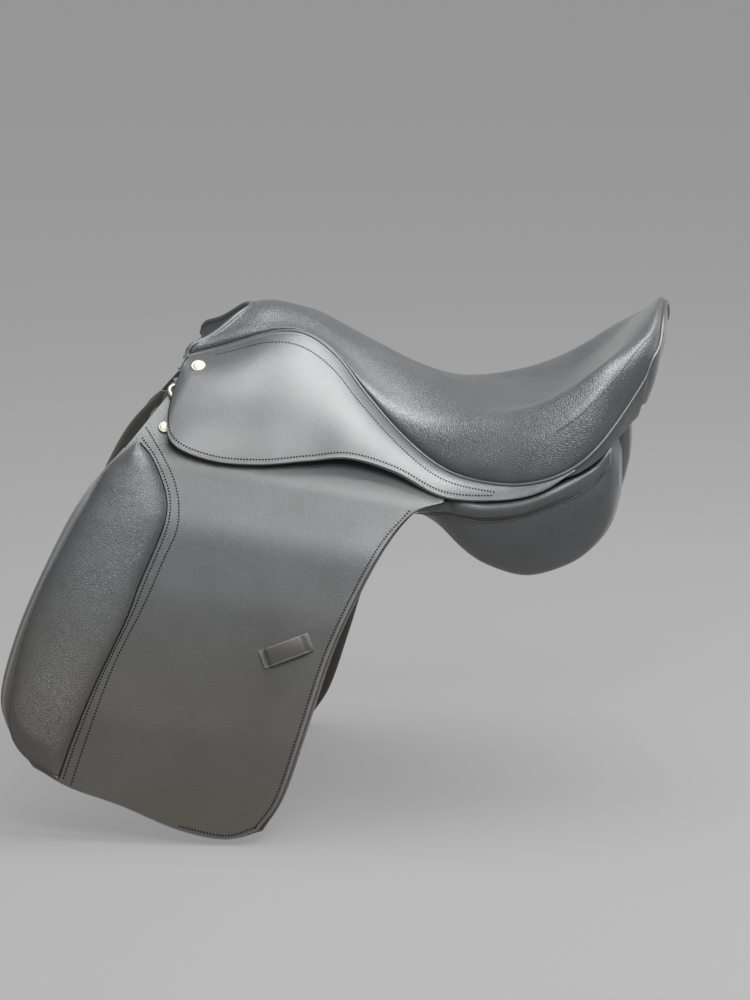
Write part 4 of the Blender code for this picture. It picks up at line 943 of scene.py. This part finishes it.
def keeperFrame(side):
    x, z = keeperLook["centre"]
    run = 0.01 * math.cos(keeperLook["tilt"])
    rise = 0.01 * math.sin(keeperLook["tilt"])
    front, rear, low, high = (Vector(flapPoint(x + dx, z + dz, 0, side)) for dx, dz in (
        (-run, -rise), (run, rise), (rise, -run), (-rise, run)))
    lengthwise = (rear - front).normalized()
    normal = towards(lengthwise.cross(high - low).normalized(), side)
    origin = Vector(flapPoint(x, z, 0, side)) + normal * gap * 0.5
    return frameMatrix(origin, lengthwise, normal, lengthwise.cross(normal))


def makeKeepers():
    look = keeperLook
    half, foot = look["length"] / 2, look["foot"]
    # side view of the strap's inner face: foot, rise, run, fall, foot
    line = [(-half, 0.0), (-half + foot * 0.8, 0.0)]
    for share in spread(0, 1, 9):
        line.append((-half + foot * 0.8 + foot * 0.75 * share, look["slot"] * smooth(0, 1, share)))
    line += [(-x, y) for x, y in line[::-1]]
    for name, side in sides:
        matrix = keeperFrame(side)
        outer, inner = [], []
        for i, (x, y) in enumerate(line):
            before, after = line[max(i - 1, 0)], line[min(i + 1, len(line) - 1)]
            forward = unit(np.array(after) - np.array(before))
            square = np.array((-forward[1], forward[0])) * look["strap"]
            shares = spread(-0.5, 0.5, 9)
            inner.append([matrix @ Vector((x, y, share * look["height"])) for share in shares])
            outer.append([matrix @ Vector((x + square[0], y + square[1] + look["crown"] * (1 - (2 * share) ** 2),
                                           share * look["height"])) for share in shares])
        keeper = shell("keeperStrap_" + name, outer, inner, trimLeather, keeperLook["edge"], 3)
        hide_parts("keeper_" + name)
        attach(keeper, "flap_" + name)


# Sweat flaps

sweatShape = {"margin": 0.0035, "top": 0.005, "columns": 48, "rows": 60, "edge": 0.0005}


def sweatDepth():
    return flapThick + 2 * guardThick + strapThick + 3 * gap


def makeSweatFlaps():
    margin = sweatShape["margin"]
    front = [(x - margin * min(i, 1), z) for i, (x, z) in enumerate(flapFrontEdge)]
    rear = [(x + margin * min(i, 1), z) for i, (x, z) in enumerate(flapRearEdge)]
    lower = [(x, z - margin) for x, z in flapLowerEdge]
    front[-1] = lower[0] = (front[-1][0], front[-1][1] - margin)
    rear[-1] = lower[-1] = (rear[-1][0], rear[-1][1] - margin)
    places = [[(x, heightAt(x, max(hingeDistance(x, z), sweatShape["top"]))) for x, z in row] for row in patch(
        front, rear, [hingeFront, rear[0]], lower, sweatShape["columns"], sweatShape["rows"])]
    for name, side in sides:
        sheet = sideSheet("sweatFlapLeather_" + name, places, sweatDepth(), sweatThick, side, sweatLeather,
                          sweatShape["edge"])
        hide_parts("sweat_flap_" + name)
        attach(sheet, "saddle")


# Panels: stuffed pads with a gusset and a double seam along their upper outer corner

gussetLook = {"above": 0.005, "below": 0.0115, "fullness": 0.0062, "lift": 0.0012, "sunk": 0.0006,
              "upperSeam": (0.0, 0.0008), "lowerSeam": (0.0004, 0.0032), "edge": 0.0004}
panelLook = {"pressure": 2.0, "stiffness": 16.0, "bending": 1.5, "cap": 0.0035, "evening": 30, "levels": 1,
             "sections": 84}
panelCorner = 6       # the section's point where the upper outer corner is
gussetRun = (4, 14)   # the section's points that the gusset follows


def panelSection(entry, side):
    x, channel, channelTop, channelLow, cornerY, cornerZ, edgeY, edgeZ, lean = entry
    top, low = [], []
    for share in (0.0, 0.15, 0.3, 0.46, 0.62, 0.76, 0.9):
        sag = (-0.006 if x < -0.2 else 0.002) * hump(share)
        top.append((channel + (cornerY - channel) * share, channelTop + (cornerZ - channelTop) * share + sag))
    for share in (0.02, 0.12, 0.25, 0.38, 0.52, 0.66, 0.8, 0.94):
        y = cornerY + (edgeY - cornerY) * share + 0.009 * hump(share)
        z = cornerZ - 0.004 + (edgeZ - cornerZ + 0.004) * share
        # inside the sweat flap, and free of it further back
        limit = flapHalfWidth(hingeDistance(x, z)) - sweatDepth() - sweatThick - gap
        top.append((min(y, limit + max(0.0, x - hingeRear[0] - 0.020) * 1.5), z))
    top.append((edgeY - 0.002, edgeZ + 0.001))
    for share in spread(0, 1, len(top)):
        z = channelLow + (edgeZ - channelLow) * share - 0.006 * hump(share)
        low.append((channel + (edgeY - 0.008 - channel) * share, max(z, 0.0)))
    return [[np.array((x - lean * (channelTop - z), side * y, z)) for y, z in line] for line in (top, low)]


def makePanels():
    for name, side in sides:
        sections = [panelSection(tuple(spline(panelRows, t)), side)
                    for t in spread(0, len(panelRows) - 1, panelLook["sections"])]
        upper, lower = zip(*sections)
        fixed = (0, panelCorner, panelCorner + 1, len(upper[0]) - 1)
        panel = makePad("panelPad_" + name, upper, lower, grainLeather, panelLook,
                        lambda j, i, place, inside: i in fixed or j in (0, len(upper) - 1) or place.x < -0.01)
        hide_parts("panel_" + name)
        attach(panel, "saddle")
        makeGusset(name, side, upper)


def makeGusset(name, side, upper):
    # a soft band along the panel's upper outer corner, with a double seam under it
    rear = [row for row in upper if row[panelCorner][0] > -0.045][:-6]
    outer, inner, seams = [], [], ([], [])
    for row in rear:
        line = row[gussetRun[0]:gussetRun[1]]
        length = np.cumsum([0.0] + [float(norm(b - a)) for a, b in zip(line, line[1:])])
        corner = length[panelCorner + 1 - gussetRun[0]]
        full = gussetLook["fullness"] * (1 - 0.8 * smooth(0.080, 0.135, row[panelCorner][0]))
        outerRow, innerRow = [], []
        for share in spread(0, 1, 12):
            place = corner - gussetLook["above"] + (gussetLook["above"] + gussetLook["below"]) * share
            point, ahead = (np.array([np.interp(spot, length, [p[k] for p in line]) for k in range(3)])
                            for spot in (place, place + 0.001))
            square = towards(unit(np.array((0.0, (point - ahead)[2], (ahead - point)[1]))), side)
            outerRow.append(point + square * (gussetLook["lift"] + full * hump(share) ** 0.7))
            innerRow.append(point - square * gussetLook["sunk"])
        outer.append(outerRow)
        inner.append(innerRow)
        for seam, (sink, drop) in zip(seams, (gussetLook["upperSeam"], gussetLook["lowerSeam"])):
            seam.append(outerRow[-1] + np.array((0, -side * sink, -drop)))
    band = shell("panelGusset_" + name, outer, inner, smoothLeather, gussetLook["edge"])
    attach(band, "saddle")
    for label, line in zip(("Upper", "Lower"), seams):
        seam = tube(f"panelSeam{label}_{name}", [along(line, s) for s in spread(0, 1, 120)], seamRadius, trimLeather)
        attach(seam, "saddle")


# Facings at the pommel and the cantle

facingLook = {"thick": 0.0030, "depth": 0.044, "bead": 0.0023, "pommelEdge": 0.0008, "cantleEdge": 0.0007,
              "bulge": 0.006}
# How far the cantle facing reaches down, from its front end to the middle
cantleDrops = [
    (-0.000, 0.000, -0.004), (-0.002, 0.000, -0.016), (-0.006, 0.000, -0.029), (-0.010, 0.000, -0.046),
    (-0.014, 0.000, -0.064), (-0.017, 0.000, -0.079),
]


def makePommelFacing():
    shares = spread(-1.3, 1.3, 60)
    ahead = [unit(outerPoint(0, v) - outerPoint(0.3, v)) for v in shares]
    faces = [[[below(0, v, depth) + forward * reach for v, forward in zip(shares, ahead)]
              for depth in spread(0.0008, facingLook["depth"], 14)] for reach in (gap + facingLook["thick"], gap)]
    facing = shell("pommelFacing", *faces, smoothLeather, facingLook["pommelEdge"])
    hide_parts("pommel_facing")
    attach(facing, "saddle")
    # binding over the facing's top edge
    bead = [below(0, v, 0.0012) + f * (gap + facingLook["thick"] * 0.6) for v, f in zip(shares, ahead)]
    binding = tube("pommelBinding", bead, facingLook["bead"], smoothLeather, roundness=3)
    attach(binding, "saddle")


def makeCantleFacing():
    upper = [outerPoint(row, -1) for row in spread(10.6, lastRow, 40)]
    upper += [outerPoint(lastRow, across) for across in spread(-0.97, 0.0, 34)]
    last = len(upper) - 1
    ends = [top + along(cantleDrops, i / last) for i, top in enumerate(upper)]
    starts = [top + unit(end - top) * (pipingRadius + seamGap) for top, end in zip(upper, ends)]
    rows = []
    for share in spread(0, 1, 16):
        row = []
        for i, (begin, end) in enumerate(zip(starts, ends)):
            bulge = facingLook["bulge"] * hump(share) * smooth(0.35, 1.0, i / last)
            row.append(begin + (end - begin) * share + np.array((bulge, 0.0, 0.0)))
        rows.append(row + [point * mirror for point in row[-2::-1]])
    behind = []
    middle = np.array((0.05, 0.0, 0.16))
    for j, row in enumerate(rows):
        inner = []
        for i, point in enumerate(row):
            a, b = row[max(i - 1, 0)], row[min(i + 1, len(row) - 1)]
            c, d = rows[max(j - 1, 0)][i], rows[min(j + 1, len(rows) - 1)][i]
            normal = unit(np.cross(b - a, d - c))
            normal = normal if np.dot(normal, point - middle) > 0 else -normal
            inner.append(point - normal * facingLook["thick"])
        behind.append(inner)
    facing = shell("cantleFacing", rows, behind, smoothLeather, facingLook["cantleEdge"])
    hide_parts("cantle_facing")
    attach(facing, "saddle")


# Girth straps, the web that carries them and the guard that slides on them

strapLook = {"centres": (-0.250, -0.217, -0.184), "names": ("front", "middle", "rear"), "width": 0.026,
             "top": 0.004, "bottom": 0.265, "point": 0.024, "holes": 12, "lowestHole": 0.030,
             "holePitch": 0.0125, "holeRadius": 0.0021, "edge": 0.0006}
# The web's distance below the bend line, and its depth, from its lower edge up
webRows = ((0.0015, 0.0), (-0.013, 0.0005), (-0.022, 0.001), (-0.034, 0.002))
webLook = {"thick": 0.0015, "edge": 0.0003}
guardLook = {"height": 0.022, "top": 0.066, "margin": 0.006, "seam": 0.0045, "wall": 0.0016, "play": 0.0006}


def strapDepth():
    return flapThick + gap + guardThick + gap


def punchHoles(strap, centre, side):
    look = strapLook
    bm = bmesh.new()
    for i in range(look["holes"]):
        z = heightAt(centre, look["bottom"] - look["lowestHole"] - i * look["holePitch"])
        matrix = facingMatrix(flapPoint(centre, z, strapDepth() + strapThick / 2, side), flapNormal(centre, z, side))
        bmesh.ops.create_cone(bm, cap_ends=True, segments=12, radius1=look["holeRadius"],
                              radius2=look["holeRadius"], depth=0.012, matrix=matrix)
    punches = addObject("punches", meshOf(bm, "punches"))
    punch = strap.modifiers.new("Holes", "BOOLEAN")
    punch.operation = "DIFFERENCE"
    punch.object = punches
    punch.solver = "EXACT"
    punched = bpy.data.meshes.new_from_object(evaluated(strap))
    strap.modifiers.remove(punch)
    strap.data = punched
    bpy.data.objects.remove(punches, do_unlink=True)


def makeStraps():
    look = strapLook
    for name, side in sides:
        for label, centre in zip(look["names"], look["centres"]):
            places = []
            for distance in spread(look["top"], look["bottom"], 70):
                point = smooth(look["bottom"] - look["point"], look["bottom"], distance)
                half = look["width"] / 2 * (1 - 0.4 * point)
                places.append([(x, heightAt(x, distance)) for x in spread(centre - half, centre + half, 9)])
            strap = sideSheet(f"girthStrap_{label}_{name}", places, strapDepth(), strapThick, side, smoothLeather,
                              look["edge"])
            punchHoles(strap, centre, side)
            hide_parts(f"girth_strap_{label}_{name}")
            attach(strap, "saddle")
        reach = (look["centres"][0] - look["width"] / 2, look["centres"][-1] + look["width"] / 2)
        faces = [[[flapPoint(x, heightAt(x, distance), flapThick + gap + depth + extra, side)
                   for x in spread(*reach, 30)]
                  for distance, depth in (spline(webRows, t) for t in spread(0, len(webRows) - 1, 22))]
                 for extra in (0.0, webLook["thick"])]
        web = shell("girthWeb_" + name, *faces, linenWeb, webLook["edge"], slot="web_linen")
        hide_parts("girth_web_" + name)
        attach(web, "saddle")
        makeGuard(name, side, reach)


def makeGuard(name, side, reach):
    look = guardLook
    x = strapLook["centres"][1]
    low = heightAt(x, look["top"] + look["height"])
    a, b, c = (Vector(flapPoint(*spot, strapDepth() + strapThick / 2, side)) for spot in (
        (x, heightAt(x, look["top"])), (x, low), (x + 0.01, low)))
    down = (b - a).normalized()
    lengthwise = (c - b).normalized()
    outward = towards(lengthwise.cross(down).normalized(), side)
    matrix = frameMatrix((a + b) / 2, lengthwise, outward, lengthwise.cross(outward))
    half = (reach[1] - reach[0]) / 2 + look["margin"]
    inside = strapThick * abs(outward.y) / 2 + look["play"]
    ring, hole = [], []
    # the sleeve's section: flat sides, pinched to a sewn seam at both ends
    for share in spread(0, 1, 41)[:-1]:
        x, y = (math.copysign(abs(v) ** 0.35, v) for v in (math.cos(2 * math.pi * share),
                                                           math.sin(2 * math.pi * share)))
        ring.append((x * half, y * (inside + look["wall"])))
        hole.append((x * (half - look["seam"]), y * inside))
    bm = bmesh.new()
    loops = []
    for outline, z in ((ring, -1), (ring, 1), (hole, 1), (hole, -1)):
        verts = [bm.verts.new(matrix @ Vector((x, y, z * look["height"] / 2))) for x, y in outline]
        loops.append([bm.edges.new((verts[i], verts[i - 1])) for i in range(len(verts))])
    for i in range(4):
        bmesh.ops.bridge_loops(bm, edges=loops[i] + loops[(i + 1) % 4])
    guard = keepPiece(bm, "buckleGuard_" + name, trimLeather, sharp=40)
    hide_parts("buckle_guard_" + name)
    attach(guard, "guard_" + name)


# Nails and studs

nailLook = {"nail": 0.0067, "stud": 0.0060, "height": 0.0024, "segments": 40, "place": (1.20, 1.36),
            "upright": 0.35, "studPlace": (-0.2722, 0.1404)}


def makeNail(name, place, normal, radius):
    # a domed head with a raised rim, spun from its profile
    bm = bmesh.new()
    h = nailLook["height"]
    profile = [(0, gap * 0.4), (radius * 0.86, gap * 0.4), (radius, gap + 0.0004), (radius, gap + 0.0008),
               (radius * 0.95, gap + 0.0013), (radius * 0.88, gap + 0.0011), (radius * 0.82, gap + 0.0010),
               (radius * 0.74, gap + 0.0014), (radius * 0.5, h * 0.92), (radius * 0.25, h * 0.99), (0, h)]
    verts = [bm.verts.new((x, 0, z)) for x, z in profile]
    edges = [bm.edges.new(pair) for pair in zip(verts, verts[1:])]
    bmesh.ops.spin(bm, geom=verts + edges, cent=(0, 0, 0), axis=(0, 0, 1), angle=2 * math.pi,
                   steps=nailLook["segments"], use_merge=True)
    bmesh.ops.remove_doubles(bm, verts=bm.verts, dist=1e-6)
    bmesh.ops.transform(bm, matrix=facingMatrix(place, normal), verts=bm.verts)
    nail = keepPiece(bm, name, whiteMetal, "white_metal", 60)
    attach(nail, "saddle")
    return nail


def makeNails(name, side):
    row, across = nailLook["place"]
    normal = towards(outerNormal(row, side * across), side)
    normal = unit(normal + np.array((0.0, side * nailLook["upright"], 0.0)))
    nail = makeNail("saddleNail_" + name, outerPoint(row, side * across), normal, nailLook["nail"])
    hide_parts("skirt_nail_" + name)
    x, z = nailLook["studPlace"]
    stud = makeNail("flapNail_" + name, flapPoint(x, z, 0, side), flapNormal(x, z, side), nailLook["stud"])
    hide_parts("flap_stud_" + name)


# Dee rings and their chapes

deeLook = {"place": (-0.259, 0.1745), "tilt": math.radians(25), "width": 0.031, "height": 0.024, "wire": 0.0017,
           "corner": 0.0055, "shoulder": 0.35, "stand": 0.0016, "wall": 0.0012, "play": 0.0003,
           "chapeWidth": 0.016, "chapeLength": 0.005, "chapeEdge": 0.0003}


def makeDee(name, side):
    look = deeLook
    x, z = look["place"]
    place = Vector(flapPoint(x, z, 0, side))
    down = (Vector(flapPoint(x, z - 0.02, 0, side)) - place).normalized()
    lengthwise = Vector((1, 0, 0))
    outward = towards(lengthwise.cross(down).normalized(), side)
    turn = Matrix.Rotation(-side * look["tilt"], 3, outward)
    pivot = place + outward * (look["wire"] + look["wall"] + look["stand"])
    lengthwise, down = turn @ lengthwise, turn @ down
    half, corner, shoulder = look["width"] / 2, look["corner"], look["shoulder"]
    straight = half - corner
    # the straight bar, a corner, the bow and the other corner
    outline = [(straight * share, 0.0) for share in spread(-1, 1, 9)]
    outline += [(straight + corner * math.cos(a), corner + corner * math.sin(a))
                for a in spread(-math.pi / 2, 0, 7)[1:]]
    outline += [(half * math.cos(a), look["height"] * (shoulder + (1 - shoulder) * math.sin(a)))
                for a in spread(0, math.pi, 33)]
    outline += [(corner * math.cos(a) - straight, corner + corner * math.sin(a))
                for a in spread(math.pi, math.pi * 1.5, 7)[:-1]]
    points = [pivot + lengthwise * across + down * fall for across, fall in outline]
    ring = tube("deeRing_" + name, points, look["wire"], whiteMetal, "white_metal", closed=True, roundness=4)
    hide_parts("dee_ring_" + name)
    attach(ring, "dee_" + name)

    # chape: a short strap folded over the straight bar
    inner = look["wire"] + look["play"]
    matrix = frameMatrix(pivot, outward, down, outward.cross(down))
    faces = []
    for radius in (inner + look["wall"], inner):
        line = [(radius, -look["chapeLength"])]
        line += [(radius * math.cos(a), radius * math.sin(a)) for a in spread(0, math.pi, 15)]
        line += [(-radius, -look["chapeLength"])]
        faces.append([[matrix @ Vector((x, y, w * look["chapeWidth"])) for w in spread(-0.5, 0.5, 9)]
                      for x, y in line])
    chape = shell("deeChape_" + name, *faces, trimLeather, look["chapeEdge"])
    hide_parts("dee_chape_" + name)
    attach(chape, "saddle")


# Solids that stay: tree, steel, webs and stirrup bars get their finish here

roundingLook = {"width": 0.0005, "segments": 2, "weld": 0.00002, "above": math.radians(40)}
plainSteel = ("catch_pin", "bar_rivet")
roundedSteel = ("stirrup_bar", "bar_catch", "gullet_plate", "cantle_plate", "tree_spring")
finishes = {("tree_frame",): plywood, ("seat_web",): linenWeb, plainSteel + roundedSteel: forgedSteel}


def finishSolids():
    for name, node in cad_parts.items():
        for starts, finish in finishes.items():
            if name.startswith(starts):
                node.data.materials.clear()
                node.data.materials.append(finish)
        if name.startswith(roundedSteel):
            weld = node.modifiers.new("Weld", "WELD")
            weld.merge_threshold = roundingLook["weld"]
            rounding = node.modifiers.new("Rounding", "BEVEL")
            rounding.width = roundingLook["width"]
            rounding.segments = roundingLook["segments"]
            rounding.limit_method = "ANGLE"
            rounding.angle_limit = roundingLook["above"]


makeSeat()
makePiping()
print("seat made")
makeSkirts()
print("skirts made")
makeFlaps()
makeKneeRolls()
makeKeepers()
makeSweatFlaps()
print("flaps made")
makePanels()
makePommelFacing()
makeCantleFacing()
print("panels and facings made")
makeStraps()
for name, side in sides:
    makeNails(name, side)
    makeDee(name, side)
finishSolids()
print("straps and metalwork made")


# Floor, light and camera

stageLook = {"floor": (0.36, 0.36, 0.36, 1), "patches": (0.3528, 0.3528, 0.3528, 1), "seen": (0.36, 0.36, 0.36, 1),
             "plain": 0.75, "floorZ": -0.2335, "floorSize": 9.0, "world": 0.30}
lampLook = {
    # place, what it points at, size and power
    "softboxKey": ((0.40, -1.80, 1.65), (-0.05, 0, 0.05), (1.3, 0.9), 54.0),
    "softboxAbove": ((0.50, 0.0, 1.95), (-0.05, 0, 0.1), (1.6, 1.9), 92.0),
    "softboxFront": ((-1.9, -2.2, 0.9), (-0.1, 0, 0.0), (1.6, 1.6), 8.0),
    "softboxRear": ((1.9, 1.2, 1.3), (0, 0, 0.1), (1.4, 1.0), 10.0),
}
cameraLook = {"azimuth": 5.4, "elevation": 12.5, "target": (-0.088, 0.0, 0.0465), "distance": 6.0, "lens": 226.8}


def makeFloor():
    bm = bmesh.new()
    bmesh.ops.create_grid(bm, x_segments=2, y_segments=2, size=stageLook["floorSize"])
    bmesh.ops.translate(bm, verts=bm.verts, vec=(0, 0, stageLook["floorZ"]))
    floor = addObject("floor", meshOf(bm, "floor"))
    material, tree, shader, place = newMaterial("paleFloor", {"Roughness": 0.8, "Specular IOR Level": 0.0})
    tone = mixColours(tree, clouds(tree, place, 2.0, 2.0), stageLook["floor"], stageLook["patches"])
    feed(tree, shader, {"Base Color": tone})
    # seen by the camera or in gloss the floor is nearly one plain tone, which keeps part of the shadow
    ray = addNode(tree, "LightPath").outputs
    seen = addNode(tree, "Math", {0: ray["Is Camera Ray"], 1: ray["Is Glossy Ray"]}, operation="MAXIMUM")
    share = addNode(tree, "Math", {0: seen.outputs[0], 1: stageLook["plain"]}, operation="MULTIPLY")
    plain = addNode(tree, "Emission", {"Color": stageLook["seen"], "Strength": 1.0})
    mixed = addNode(tree, "MixShader", {0: share.outputs[0], 1: shader.outputs[0], 2: plain.outputs[0]})
    feed(tree, tree.nodes["Material Output"], {"Surface": mixed.outputs[0]})
    floor.data.materials.append(material)


def makeLights():
    for name, (place, target, size, power) in lampLook.items():
        data = bpy.data.lights.new(name, "AREA")
        data.shape = "RECTANGLE"
        data.size, data.size_y = size
        data.energy = power
        lamp = addObject(name, data)
        lamp.location = place
        lamp.rotation_euler = (Vector(target) - Vector(place)).to_track_quat("-Z", "Y").to_euler()
    world = bpy.data.worlds.new("studio")
    bpy.context.scene.world = world
    world.use_nodes = True
    feed(world.node_tree, world.node_tree.nodes["Background"],
         {"Color": (1, 1, 1, 1), "Strength": stageLook["world"]})


def makeCamera():
    angle, rise = math.radians(cameraLook["azimuth"]), math.radians(cameraLook["elevation"])
    back = Vector((math.sin(angle) * math.cos(rise), -math.cos(angle) * math.cos(rise), math.sin(rise)))
    data = bpy.data.cameras.new("camera")
    data.sensor_fit = "VERTICAL"
    data.sensor_height = 36
    data.lens = cameraLook["lens"]
    camera = addObject("camera", data)
    camera.location = Vector(cameraLook["target"]) + back * cameraLook["distance"]
    camera.rotation_euler = back.to_track_quat("Z", "Y").to_euler()
    bpy.context.scene.camera = camera
    bpy.context.scene.view_settings.view_transform = "Standard"


makeFloor()
makeLights()
makeCamera()
print("stage made")
bpy.context.view_layer.update()
